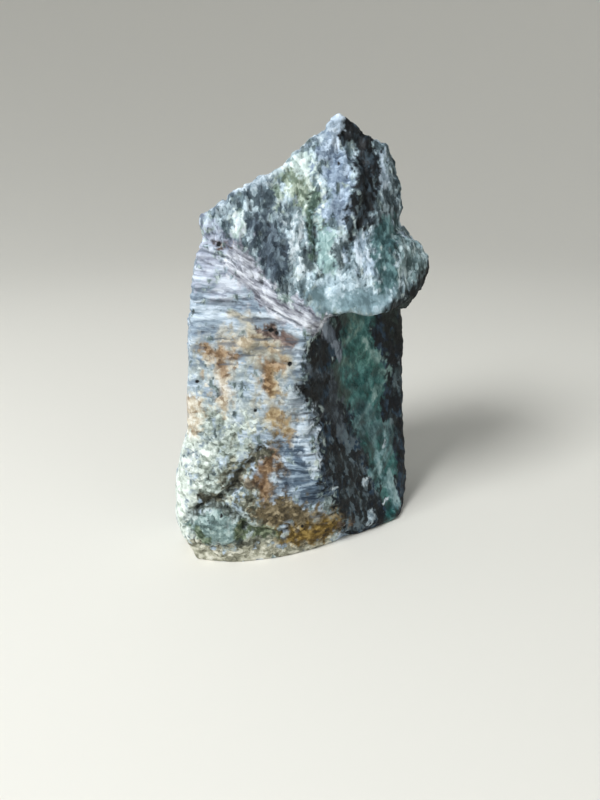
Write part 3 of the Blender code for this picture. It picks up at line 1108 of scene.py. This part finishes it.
class Sheet:
    """Adds nodes to one material and joins them up."""

    DETAIL = 3.0
    MIX_SOCKETS = {"FLOAT": (2, 3, 0), "RGBA": (6, 7, 2)}

    def __init__(self, material: bpy.types.Material) -> None:
        """Start on a material's empty node tree.

        Args:
            material: the material that gets the nodes.
        """
        material.use_nodes = True
        self.tree = material.node_tree
        self.tree.nodes.clear()

    def add(self, kind: str, **settings: object) -> bpy.types.Node:
        """Add a node.

        Args:
            kind: which node.
            settings: its settings by name.

        Returns:
            The new node.
        """
        node = self.tree.nodes.new(kind)
        for name, value in settings.items():
            setattr(node, name, value)
        return node

    def feed(self, target: Socket, value: Socket | float | tuple[float, ...]) -> None:
        """Join a socket to an input, or set the input's own value.

        Args:
            target: the input.
            value: the socket or the value.
        """
        if isinstance(value, bpy.types.NodeSocket):
            self.tree.links.new(value, target)
        else:
            target.default_value = value

    def math(self, operation: Sum, first: Socket | float, second: Socket | float) -> Socket:
        """Work out one sum on two values.

        Args:
            operation: which sum.
            first: the first value.
            second: the second value.

        Returns:
            The result.
        """
        node = self.add("ShaderNodeMath", operation=operation.value)
        self.feed(node.inputs[0], first)
        self.feed(node.inputs[1], second)
        return node.outputs[0]

    def sway(self, value: Socket, reach: float) -> Socket:
        """How far a grain from 0 to 1 is from its middle, times a reach."""
        return self.math(Sum.MULTIPLY, self.math(Sum.SUBTRACT, value, 0.5), reach)

    def rise(self, value: Socket, limits: Spot, slope: Slope = Slope.SOFT) -> Socket:
        """Nothing below the first limit, one above the second and a rise between them.

        Args:
            value: what rises.
            limits: where it starts and where it ends.
            slope: how the rise runs.

        Returns:
            A share from 0 to 1.
        """
        node = self.add("ShaderNodeMapRange", interpolation_type=slope.value, clamp=True)
        self.feed(node.inputs["Value"], value)
        node.inputs["From Min"].default_value, node.inputs["From Max"].default_value = limits
        return node.outputs["Result"]

    def _mixed(self, node: bpy.types.Node, share: Socket | float, under: Socket | float,
               over: Socket | float | tuple[float, ...]) -> Socket:
        """Feed a node that mixes two values.

        Args:
            node: the node.
            share: how much of the second value shows.
            under: the first value.
            over: the second value.

        Returns:
            The result.
        """
        first, second, result = self.MIX_SOCKETS[node.data_type]
        for place, value in ((0, share), (first, under), (second, over)):
            self.feed(node.inputs[place], value)
        return node.outputs[result]

    def blend(self, share: Socket, under: Socket, over: Socket | tuple[float, ...],
              mode: Blend = Blend.PLAIN) -> Socket:
        """One colour laid over another.

        Args:
            share: how much of the upper colour shows.
            under: the colour below.
            over: the colour above.
            mode: how the two are combined.

        Returns:
            The colour that results.
        """
        node = self.add("ShaderNodeMix", data_type="RGBA", blend_type=mode.value)
        return self._mixed(node, share, under, over)

    def lean(self, share: Socket | float, under: Socket, over: Socket) -> Socket:
        """A number between two others."""
        return self._mixed(self.add("ShaderNodeMix", data_type="FLOAT"), share, under, over)

    def cover(self, kind: Cover | Pattern) -> Socket:
        """A cover held on the skin."""
        return self.add("ShaderNodeAttribute", attribute_name=kind.value).outputs["Fac"]

    def tone(self, shade: Shade) -> Socket:
        """A tone held on the skin."""
        return self.add("ShaderNodeAttribute", attribute_name=shade.value).outputs["Color"]

    def _laid(self, place: Socket, size: Place, tilt: float) -> Socket:
        """Coordinates for a grain of a size and tilt.

        Args:
            place: where on the stone, in metres.
            size: length of one swell along x, y and z, in millimetres.
            tilt: how far the grain is turned about y, in degrees.

        Returns:
            The coordinates.
        """
        lie = self.add("ShaderNodeMapping", vector_type="TEXTURE")
        lie.inputs["Rotation"].default_value = (0.0, math.radians(tilt), 0.0)
        lie.inputs["Scale"].default_value = tuple(length * MM for length in size)
        self.feed(lie.inputs["Vector"], place)
        return lie.outputs[0]

    def stir(self, place: Socket, by: Socket, reach: float) -> Socket:
        """Move places about.

        Args:
            place: where on the stone, in metres.
            by: a noise's colour.
            reach: how far they are moved at most, in millimetres.

        Returns:
            The moved places.
        """
        node = self.add("ShaderNodeVectorMath", operation="MULTIPLY_ADD")
        self.feed(node.inputs[0], by)
        node.inputs[1].default_value = (reach * MM,) * 3
        self.feed(node.inputs[2], place)
        return node.outputs[0]

    def chips(self, place: Socket, size: Place, tilt: float) -> Socket:
        """Irregular chips.

        Args:
            place: where on the stone, in metres.
            size: length of one chip along x, y and z, in millimetres.
            tilt: how far the chips are turned about y, in degrees.

        Returns:
            The level of each chip from 0 to 1.
        """
        laid = self._laid(place, size, tilt)
        node = self.add("ShaderNodeTexVoronoi", voronoi_dimensions="3D", feature="F1")
        self.feed(node.inputs["Vector"], laid)
        node.inputs["Scale"].default_value = 1.0
        split = self.add("ShaderNodeSeparateColor")
        self.feed(split.inputs[0], node.outputs["Color"])
        return split.outputs[0]

    def noise(self, place: Socket, size: Place, rough: float, warp: float = 0.0,
              tilt: float = 0.0) -> bpy.types.Node:
        """A noise node at a given grain size.

        Args:
            place: where on the stone, in metres.
            size: length of one swell along x, y and z, in millimetres.
            rough: height of a layer as a share of the last.
            warp: how far the grain is stirred.
            tilt: how far the grain is turned about y, in degrees.

        Returns:
            The noise node.
        """
        laid = self._laid(place, size, tilt)
        node = self.add("ShaderNodeTexNoise", noise_dimensions="3D")
        self.feed(node.inputs["Vector"], laid)
        settings = {"Scale": 1.0, "Detail": self.DETAIL, "Roughness": rough, "Distortion": warp}
        for name, value in settings.items():
            node.inputs[name].default_value = value
        return node


@dataclass(frozen=True)
class Rub:
    """A tone rubbed over the stone where one cover shows."""

    cover: Cover
    limits: Spot
    tone: Tone
    share: float = 1.0
    mode: Blend = Blend.PLAIN
    broken: bool = False


@dataclass(frozen=True)
class StoneFinish:
    """The stone's one finish, from its tones to its fine grain."""

    stops: tuple[float, float, float] = (0.3, 0.5, 0.7)
    wide_rough: float = 0.6
    wide_warp: float = 0.4
    narrow_rough: float = 0.65
    narrow_share: float = 0.42
    shred: Place = (1.6, 1.6, 2.0)
    shred_rough: float = 0.7
    shred_limits: Spot = (0.35, 0.65)
    stirring: float = 1.6
    rubs: tuple[Rub, ...] = (
        # Painted highlight: raised edges lightened.
        Rub(Cover.WORN, (0.15, 0.8), (214, 224, 230), 0.5, Blend.SOFT, broken=True),
        # Painted shade: hollows darkened.
        Rub(Cover.GRIME, (0.1, 0.9), (34, 40, 42), 0.7, Blend.DARKEN),
        Rub(Cover.STROKES, (0.1, 1.0), (92, 102, 114), 0.65),
        Rub(Cover.PITS, (0.3, 0.6), (8, 10, 12)),
    )
    shine: float = 0.28
    roughness_swing: float = 0.35
    crumb: Place = (0.55, 0.55, 0.6)
    crumb_rough: float = 0.65
    cloudy_calm: float = 0.7
    fine_depth: float = 0.24
    coarse_depth: float = 0.45

    def _patterns(self, sheet: Sheet, place: Socket, stirred: Socket) -> dict[Pattern, Socket]:
        """The grains that the tones are spread by.

        Args:
            sheet: where the nodes go.
            place: where on the stone, in metres.
            stirred: the same place moved a little, so that chips get ragged rims.

        Returns:
            One value from 0 to 1 for each pattern.
        """
        found = {}
        for pattern, mottle in MOTTLES.items():
            wide = sheet.noise(place, mottle.wide, self.wide_rough, self.wide_warp, mottle.tilt)
            narrow = sheet.noise(place, mottle.narrow, self.narrow_rough, tilt=mottle.tilt)
            chips = sheet.chips(stirred, mottle.chip, mottle.tilt)
            grain = sheet.lean(self.narrow_share, wide.outputs[0], narrow.outputs[0])
            both = sheet.math(Sum.ADD, sheet.sway(grain, mottle.swing), sheet.sway(chips, mottle.jump))
            found[pattern] = sheet.math(Sum.ADD, both, 0.5)
        return found

    def _mottled(self, sheet: Sheet, patterns: dict[Pattern, Socket]) -> Socket:
        """The stone's three tones spread by the grain that each place has.

        Args:
            sheet: where the nodes go.
            patterns: the grains.

        Returns:
            The colour.
        """
        value: Socket | float = 0.0
        for pattern, grain in patterns.items():
            part = sheet.math(Sum.MULTIPLY, grain, sheet.cover(pattern))
            value = sheet.math(Sum.ADD, value, part)
        low, middle, high = self.stops
        lower = sheet.rise(value, (low, middle), Slope.EVEN)
        upper = sheet.rise(value, (middle, high), Slope.EVEN)
        dark, half, light = (sheet.tone(shade) for shade in Shade)
        return sheet.blend(upper, sheet.blend(lower, dark, half), light)

    def _rubbed(self, sheet: Sheet, colour: Socket, shred: Socket) -> Socket:
        """Lay the rubs over the mottled tones.

        Args:
            sheet: where the nodes go.
            colour: the mottled tones.
            shred: a small grain that breaks up a rub.

        Returns:
            The colour.
        """
        for rub in self.rubs:
            share = sheet.rise(sheet.cover(rub.cover), rub.limits)
            if rub.broken:
                share = sheet.math(Sum.MULTIPLY, share, sheet.rise(shred, self.shred_limits))
            share = sheet.math(Sum.MULTIPLY, share, rub.share)
            colour = sheet.blend(share, colour, linear(rub.tone), rub.mode)
        return colour

    def _bumps(self, sheet: Sheet, place: Socket, patterns: dict[Pattern, Socket]) -> Socket:
        """Grain too fine for the skin's own relief.

        Args:
            sheet: where the nodes go.
            place: where on the stone, in metres.
            patterns: the grains of the tones.

        Returns:
            The bumped normal.
        """
        calm = sheet.math(Sum.MULTIPLY, sheet.cover(Pattern.CLOUDY), self.cloudy_calm)
        strength = sheet.math(Sum.SUBTRACT, 1.0, calm)
        lying = sheet.cover(Pattern.LEVEL)
        lie = sheet.lean(lying, patterns[Pattern.UPRIGHT], patterns[Pattern.LEVEL])
        crumb = sheet.noise(place, self.crumb, self.crumb_rough).outputs[0]
        coarse, fine = (sheet.add("ShaderNodeBump") for _ in range(2))
        for node, depth, height in ((coarse, self.coarse_depth, lie), (fine, self.fine_depth, crumb)):
            node.inputs["Distance"].default_value = depth * MM
            sheet.feed(node.inputs["Strength"], strength)
            sheet.feed(node.inputs["Height"], height)
        sheet.feed(fine.inputs["Normal"], coarse.outputs[0])
        return fine.outputs[0]

    def make(self) -> bpy.types.Material:
        """Build the material.

        Returns:
            The finished material.
        """
        material = bpy.data.materials.new("Raw soapstone")
        sheet = Sheet(material)
        place = sheet.add("ShaderNodeTexCoord").outputs["Object"]
        shred = sheet.noise(place, self.shred, self.shred_rough)
        stirred = sheet.stir(place, shred.outputs["Color"], self.stirring)
        patterns = self._patterns(sheet, place, stirred)
        colour = self._rubbed(sheet, self._mottled(sheet, patterns), shred.outputs[0])
        swing = sheet.sway(shred.outputs[0], self.roughness_swing)
        roughness = sheet.math(Sum.ADD, sheet.cover(Cover.ROUGH), swing)
        surface = sheet.add("ShaderNodeBsdfPrincipled")
        sheet.feed(surface.inputs["Base Color"], colour)
        sheet.feed(surface.inputs["Roughness"], roughness)
        sheet.feed(surface.inputs["Specular IOR Level"], self.shine)
        sheet.feed(surface.inputs["Normal"], self._bumps(sheet, place, patterns))
        output = sheet.add("ShaderNodeOutputMaterial")
        sheet.feed(output.inputs["Surface"], surface.outputs[0])
        return material


@dataclass
class Skin:
    """Reads and writes one mesh as arrays, in millimetres on the bench."""

    mesh: bpy.types.Mesh
    points: Array = field(init=False)
    normals: Array = field(init=False)
    edges: Array = field(init=False)

    def __post_init__(self) -> None:
        """Read the mesh."""
        self.points = self._vectors("co") / MM + np.array(BENCH_MARK)
        self.normals = self._vectors("normal")
        ends = np.empty(2 * len(self.mesh.edges), np.int32)
        self.mesh.edges.foreach_get("vertices", ends)
        self.edges = ends.reshape(-1, 2)

    def _vectors(self, name: str) -> Array:
        """Read one vector of every vertex.

        Args:
            name: which vector.

        Returns:
            One vector a row.
        """
        flat = np.empty(3 * len(self.mesh.vertices))
        self.mesh.vertices.foreach_get(name, flat)
        return flat.reshape(-1, 3)

    def _around(self, column: Array) -> Array:
        """Add up the values of each vertex's neighbours.

        Args:
            column: one value a vertex.

        Returns:
            One sum a vertex.
        """
        first, second = self.edges.T
        onto_first = np.bincount(first, column[second], len(column))
        return onto_first + np.bincount(second, column[first], len(column))

    def spread(self, values: Array, steps: int) -> Array:
        """Average each vertex with its neighbours a number of times.

        Args:
            values: one row a vertex.
            steps: how often.

        Returns:
            The evened rows.
        """
        count = np.bincount(self.edges.ravel(), minlength=len(values))[:, None]
        for _ in range(steps):
            around = np.stack([self._around(column) for column in values.T], axis=1)
            values = 0.5 * values + 0.5 * around / np.maximum(count, 1)
        return values

    def facing(self, steps: int) -> Array:
        """Normals without the small relief."""
        calm = self.spread(self.normals, steps)
        return calm / np.linalg.norm(calm, axis=1, keepdims=True)

    def write(self, points: Array) -> None:
        """Move the vertices.

        Args:
            points: their new places.
        """
        self.points = points
        self.mesh.vertices.foreach_set("co", ((points - np.array(BENCH_MARK)) * MM).ravel())
        self.mesh.update()

    def keep(self, kind: Shade | Cover | Pattern, values: Array) -> None:
        """Hold values on the vertices.

        Args:
            kind: what they are.
            values: one number or one colour a vertex.
        """
        single = values.ndim == 1
        held = self.mesh.attributes.new(kind.value, "FLOAT" if single else "FLOAT_VECTOR", "POINT")
        held.data.foreach_set("value" if single else "vector", values.astype(np.float32).ravel())


@dataclass
class Coats:
    """The tones, roughness and grain of every vertex, built up coat by coat."""

    count: int
    ground: Tint
    values: Array = field(init=False)

    def __post_init__(self) -> None:
        """Lay the ground."""
        self.values = np.tile(self._row(self.ground), (self.count, 1))

    def _row(self, tint: Tint) -> Array:
        """One row of numbers for a tint.

        Args:
            tint: the tint.

        Returns:
            Its three tones, its roughness and the share of every grain.
        """
        tones = [linear(tone)[:3] for tone in (tint.dark, tint.middle, tint.light)]
        grains = [float(pattern is tint.pattern) for pattern in Pattern]
        return np.concatenate([*tones, [tint.roughness], grains])

    def lay(self, tint: Tint, share: Array) -> None:
        """Lay a tint over what is there.

        Args:
            tint: what is laid.
            share: how much of it each vertex gets.
        """
        self.values += share[:, None] * (self._row(tint) - self.values)

    def keep(self, skin: Skin) -> None:
        """Hold the result on the skin.

        Args:
            skin: the skin.
        """
        *tones, numbers = np.split(self.values, 3 * np.arange(1, len(Shade) + 1), axis=1)
        for shade, tone in zip(Shade, tones):
            skin.keep(shade, tone)
        for kind, column in zip((Cover.ROUGH, *Pattern), numbers.T):
            skin.keep(kind, column)


@dataclass(frozen=True)
class Paintwork:
    """The tints laid on the stone, its own colours and painted light and shade, and how ragged their borders
    are.
    """

    grain: Grain
    ground: Tint = RAW
    tints: tuple[Tint, ...] = BACK_TINTS + AREA_TINTS + HEAD_TINTS + FRONT_TINTS + RECESS_TINTS
    stray: tuple[Swell, ...] = (
        Swell((13, 13, 16), 2.6), Swell((5, 5, 6), 1.5), Swell((2.2, 2.2, 2.6), 0.6),
    )
    stray_shifts: Spot = (0.0, 90.0)
    side_stray: float = 1.8
    side_depth: Spot = (-44.0, -26.0)
    side_reach: Spot = (42.0, 56.0)
    tear: Swell = Swell((5.5, 5.5, 8.0), 0.5, 0.0, 3, 0.6)
    crumb: Place = (1.5, 1.5, 2.2)
    crumb_swing: float = 0.7
    crumb_shake: Swell = Swell((1.2, 1.2, 1.2), 0.6)

    def _strayed(self, points: Array) -> Array:
        """Where on the front the colours take each point to be.

        Args:
            points: places in millimetres.

        Returns:
            One (x, z) a point.
        """
        side = ramp(points[:, 1], *self.side_depth) * ramp(-points[:, 0], *self.side_reach)
        strays = [sum(swell.over(self.grain, points + shift) for swell in self.stray)
                  for shift in self.stray_shifts]
        return points[:, [0, 2]] + (1.0 + self.side_stray * side)[:, None] * np.stack(strays, axis=1)

    def lay(self, skin: Skin, covers: dict[Area, Array], toward: Array) -> None:
        """Lay the tints over each other on the skin.

        Args:
            skin: what is painted.
            covers: the covers of the areas.
            toward: one where the skin faces the front and nothing at the back.
        """
        flat = self._strayed(skin.points)
        _, crumbs = self.grain.cells(self.crumb_shake.moved(self.grain, skin.points), self.crumb)
        off = self.tear.over(self.grain, skin.points) + self.crumb_swing * (crumbs - 0.5)
        coats = Coats(len(skin.points), self.ground)
        for tint in self.tints:
            cover = covers[tint.area] if tint.area else tint.field(flat) + toward - 1.0
            edge = cover + tint.ragged * off
            coats.lay(tint, tint.strength * ramp(edge, 0.5 - tint.soft, 0.5 + tint.soft))
            log.debug("%s laid", tint.name)
        coats.keep(skin)


@dataclass(frozen=True)
class StandOutLight:
    """A cover of painted light that follows how far the skin stands out from its surroundings: painted
    highlight on raised edges, painted shade in hollows.
    """

    cover: Cover
    steps: int
    gain: float


@dataclass
class StoneBlock:
    """The stone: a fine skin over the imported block, worn and dressed."""

    name: str = "soapstone_skin"
    seed: int = 11
    pitch: float = 0.66
    quick_pitch: float = 1.1
    calm_factor: float = 0.5
    calm_steps: int = 10
    facing_steps: int = 14
    triangles: int = 196_000
    front_share: float = 0.75
    thin_facing: Spot = (-0.2, 0.3)
    area_limits: Spot = (0.42, 0.6)
    glass_limits: Spot = (0.4, 0.6)
    glass_calm: float = 0.8
    outer_facing: Spot = (0.0, 0.4)
    standing: Spot = (0.2, 2.5)
    toward_facing: Spot = (-0.1, 0.15)
    toward_depth: Spot = (16.0, 28.0)
    stroke_depth: Spot = (0.08, 0.6)
    stroke_cover: Spot = (0.45, 0.6)
    # Painted highlight on raised edges and painted shade in hollows, by how far the skin stands out.
    weathering: tuple[StandOutLight, ...] = (
        StandOutLight(Cover.WORN, 3, -3.2), StandOutLight(Cover.GRIME, 8, 1.9),
    )
    finish: StoneFinish = field(default_factory=StoneFinish)
    layout: Layout = field(init=False)
    back_layout: BackLayout = field(init=False)
    common: CommonRelief = field(init=False)
    head: HeadRelief = field(init=False)
    front: FrontRelief = field(init=False)
    foot: FootRelief = field(init=False)
    recess: RecessRelief = field(init=False)
    back: BackRelief = field(init=False)
    paintwork: Paintwork = field(init=False)

    def __post_init__(self) -> None:
        """Draw the grain, then the areas, the relief and the paint that follow it."""
        grain = Grain(self.seed)
        self.layout = Layout(grain)
        self.back_layout = BackLayout(grain)
        self.common = CommonRelief(grain)
        self.head = HeadRelief(grain, self.layout)
        self.front = FrontRelief(grain, self.layout)
        self.foot = FootRelief(grain)
        self.recess = RecessRelief(grain)
        self.back = BackRelief(grain)
        self.paintwork = Paintwork(grain)

    def _evaluated(self, piece: bpy.types.Object) -> bpy.types.Mesh:
        """Carry out a piece's modifiers.

        Args:
            piece: the piece, which loses them.

        Returns:
            The mesh that they give.
        """
        bpy.context.view_layer.update()
        graph = bpy.context.evaluated_depsgraph_get()
        made = bpy.data.meshes.new_from_object(piece.evaluated_get(graph))
        piece.modifiers.clear()
        return made

    def _drawn_skin(self) -> bpy.types.Object:
        """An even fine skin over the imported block.

        Returns:
            The new piece.
        """
        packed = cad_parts[NODE]
        piece = bpy.data.objects.new(self.name, packed.data.copy())
        bpy.context.scene.collection.objects.link(piece)
        even = piece.modifiers.new("Skin", "REMESH")
        even.mode = "VOXEL"
        even.voxel_size = MM * self.pitch
        calm = piece.modifiers.new("Calm", "SMOOTH")
        calm.factor = self.calm_factor
        calm.iterations = self.calm_steps
        piece.data = self._evaluated(piece)
        return piece

    def _inside_block(self, points: Array) -> Array:
        """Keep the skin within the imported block's own box."""
        low, high = (np.array(corner) / MM + np.array(BENCH_MARK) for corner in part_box(NODE))
        return np.clip(points, low, high)

    def _wear(self, piece: bpy.types.Object) -> None:
        """Wear the small forms into the skin.

        Args:
            piece: the piece with the plain skin.
        """
        skin = Skin(piece.data)
        points = skin.points
        facing = skin.facing(self.facing_steps)
        covers = self.layout.areas(points, facing)
        front = ramp(covers[Area.FRONT], *self.area_limits)
        head = ramp(covers[Area.HEAD], *self.area_limits)
        glass = ramp(covers[Area.GLASS], *self.glass_limits)
        band = ramp(covers[Area.BAND], *self.area_limits) * (1.0 - glass)
        rest = np.clip(1.0 - front - head - glass - band, 0.0, 1.0)
        height = self.common.swelling(points) * (1.0 - self.glass_calm * glass)
        height += head * self.head.foliation(points) + front * self.front.rasp(points)
        broken = band * self.recess.wall(points) + glass * self.recess.glass(points)
        height += broken + rest * self.back.weathering(points)
        outer = ramp(-facing[:, 1], *self.outer_facing)
        height += outer * (self.front.tongues(points) + self.foot.pebbles(points))
        height += outer * (self.front.holes(points) + self.foot.knob(points))
        height += self.common.cracks(points) + self.head.overhang(points)
        height *= ramp(points[:, 2], *self.standing)
        skin.write(self._inside_block(points + facing * height[:, None]))

    def _thin(self, piece: bpy.types.Object) -> None:
        """Spend the triangles where the relief is, and more of them on the front.

        Args:
            piece: the piece with the worn skin.
        """
        facing = Skin(piece.data).facing(self.facing_steps)
        weight = 1.0 - self.front_share * ramp(-facing[:, 1], *self.thin_facing)
        weight = np.round(weight, 1)
        favour = piece.vertex_groups.new(name="thin")
        for level in np.unique(weight):
            favour.add(np.flatnonzero(weight == level).tolist(), float(level), "REPLACE")
        step = piece.modifiers.new("Thin", "DECIMATE")
        step.ratio = min(1.0, self.triangles / (2 * len(piece.data.polygons)))
        step.vertex_group = favour.name
        step.vertex_group_factor = 1.0
        piece.data = self._evaluated(piece)
        piece.vertex_groups.clear()

    def _survey(self, piece: bpy.types.Object) -> None:
        """Hold the tones, the painted highlight on raised edges and the painted shade in hollows on the
        skin.

        Args:
            piece: the piece with its final skin.
        """
        skin = Skin(piece.data)
        points = skin.points
        facing = skin.facing(self.facing_steps)
        before = ramp(-points[:, 1], *self.toward_depth)
        toward = np.maximum(ramp(-facing[:, 1], *self.toward_facing), before)
        covers = self.layout.areas(points, facing) | self.back_layout.areas(points)
        self.paintwork.lay(skin, covers, toward)
        skin.keep(Cover.PITS, self.front.pit_cover(points) * toward)
        strokes = ramp(-self.front.rasp(points), *self.stroke_depth)
        skin.keep(Cover.STROKES, strokes * ramp(covers[Area.FRONT], *self.stroke_cover) * toward)
        for light_cover in self.weathering:
            rise = np.einsum("ij,ij->i", skin.spread(points, light_cover.steps) - points, facing)
            skin.keep(light_cover.cover, np.clip(light_cover.gain * rise, 0.0, 1.0))

    def build(self) -> bpy.types.Object:
        """Make the stone.

        Returns:
            The dressed piece.
        """
        piece = self._drawn_skin()
        self._wear(piece)
        self._thin(piece)
        self._survey(piece)
        piece.data.polygons.foreach_set("use_smooth", np.ones(len(piece.data.polygons), bool))
        piece.data.materials.clear()
        piece.data.materials.append(self.finish.make())
        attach(piece, BODY)
        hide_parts(NODE)
        return piece


@dataclass(frozen=True)
class FloorFinish:
    """Plain pale studio floor."""

    tone: Tone = (228, 224, 215)
    roughness: float = 0.7

    def make(self) -> bpy.types.Material:
        """Build the material.

        Returns:
            The finished material.
        """
        material = bpy.data.materials.new("Pale floor")
        sheet = Sheet(material)
        surface = sheet.add("ShaderNodeBsdfPrincipled")
        surface.inputs["Base Color"].default_value = linear(self.tone)
        surface.inputs["Roughness"].default_value = self.roughness
        output = sheet.add("ShaderNodeOutputMaterial")
        sheet.feed(output.inputs["Surface"], surface.outputs[0])
        return material


@dataclass(frozen=True)
class Lamp:
    """A soft square lamp that points at the stone."""

    name: str
    place: Place
    width: float
    power: float
    colour: tuple[float, float, float]

    def hang(self, aim: Place) -> None:
        """Hang the lamp.

        Args:
            aim: what it points at.
        """
        data = bpy.data.lights.new(self.name, "AREA")
        data.shape = "SQUARE"
        data.size = self.width
        data.energy = self.power
        data.color = self.colour
        hung = bpy.data.objects.new(self.name, data)
        hung.location = self.place
        toward = Vector(aim) - Vector(self.place)
        hung.rotation_euler = toward.to_track_quat("-Z", "Y").to_euler()
        bpy.context.scene.collection.objects.link(hung)


@dataclass
class Studio:
    """The floor that turns up into a wall all round, the lamps and the camera."""

    flat_reach: float = 0.75
    flat_shares: tuple[float, ...] = (0.15, 0.4, 1.0)
    curve: float = 1.9
    height: float = 2.4
    sides: int = 96
    curve_steps: int = 24
    aim: Place = (0.0, 0.0, 0.085)
    lamps: tuple[Lamp, ...] = (
        Lamp("Key", (-0.8, -0.75, 1.1), 0.55, 26.0, (0.94, 0.975, 1.0)),
        Lamp("Fill", (0.9, -0.9, 0.52), 0.6, 1.8, (0.92, 0.97, 1.0)),
    )
    sky: tuple[float, float, float, float] = (0.86, 0.93, 1.0, 1.0)
    sky_strength: float = 0.36
    eye: Place = (0.00225, -0.2629, 0.17115)
    pitch: float = 22.99
    roll: float = -1.31
    lens: float = 27.045
    sensor: float = 36.0
    near: float = 0.01
    finish: FloorFinish = field(default_factory=FloorFinish)

    def _profile(self) -> list[Spot]:
        """The rings of the floor.

        Returns:
            Reach and height of each ring, from the middle outwards.
        """
        rings = [(self.flat_reach * share, 0.0) for share in self.flat_shares]
        for step in range(1, self.curve_steps + 1):
            angle = math.pi / 2 * step / self.curve_steps
            reach = self.flat_reach + self.curve * math.sin(angle)
            rings.append((reach, self.curve * (1 - math.cos(angle))))
        rings.append((self.flat_reach + self.curve, self.height))
        return rings

    def floor(self) -> bpy.types.Object:
        """Build the floor.

        Returns:
            The floor.
        """
        shape = bmesh.new()
        centre = shape.verts.new((0.0, 0.0, 0.0))
        rings = []
        for reach, height in self._profile():
            turns = (2 * math.pi * side / self.sides for side in range(self.sides))
            places = ((reach * math.cos(turn), reach * math.sin(turn), height) for turn in turns)
            rings.append([shape.verts.new(place) for place in places])
        for side in range(self.sides):
            after = (side + 1) % self.sides
            shape.faces.new((centre, rings[0][side], rings[0][after]))
            for inner, outer in zip(rings[:-1], rings[1:]):
                shape.faces.new((inner[side], outer[side], outer[after], inner[after]))
        mesh = bpy.data.meshes.new("studio_floor")
        shape.to_mesh(mesh)
        shape.free()
        mesh.polygons.foreach_set("use_smooth", np.ones(len(mesh.polygons), bool))
        mesh.materials.append(self.finish.make())
        made = bpy.data.objects.new("studio_floor", mesh)
        bpy.context.scene.collection.objects.link(made)
        return made

    def light(self) -> None:
        """Hang the lamps and set the sky."""
        for lamp in self.lamps:
            lamp.hang(self.aim)
        world = bpy.data.worlds.new("Studio")
        world.use_nodes = True
        sky = world.node_tree.nodes["Background"]
        sky.inputs["Color"].default_value = self.sky
        sky.inputs["Strength"].default_value = self.sky_strength
        bpy.context.scene.world = world

    def camera(self) -> bpy.types.Object:
        """Set up the camera.

        Returns:
            The camera.
        """
        data = bpy.data.cameras.new("Camera")
        data.sensor_fit = "AUTO"
        data.sensor_width = self.sensor
        data.lens = self.lens
        data.clip_start = self.near
        made = bpy.data.objects.new("Camera", data)
        tilt = Matrix.Rotation(math.radians(90.0 - self.pitch), 4, "X")
        spin = Matrix.Rotation(math.radians(self.roll), 4, "Z")
        made.matrix_world = Matrix.Translation(self.eye) @ tilt @ spin
        bpy.context.scene.collection.objects.link(made)
        bpy.context.scene.camera = made
        return made


def main() -> None:
    """Build the camera, the studio and the stone."""
    logging.basicConfig(level=logging.INFO, format="%(name)s: %(message)s")
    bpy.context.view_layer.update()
    studio = Studio()
    log.info("%s set up", studio.camera().name)
    log.info("%s laid", studio.floor().name)
    studio.light()
    bpy.context.scene.view_settings.view_transform = "Standard"
    stone = StoneBlock().build()
    log.info("%s built with %d faces", stone.name, len(stone.data.polygons))


if __name__ == "__main__":
    main()
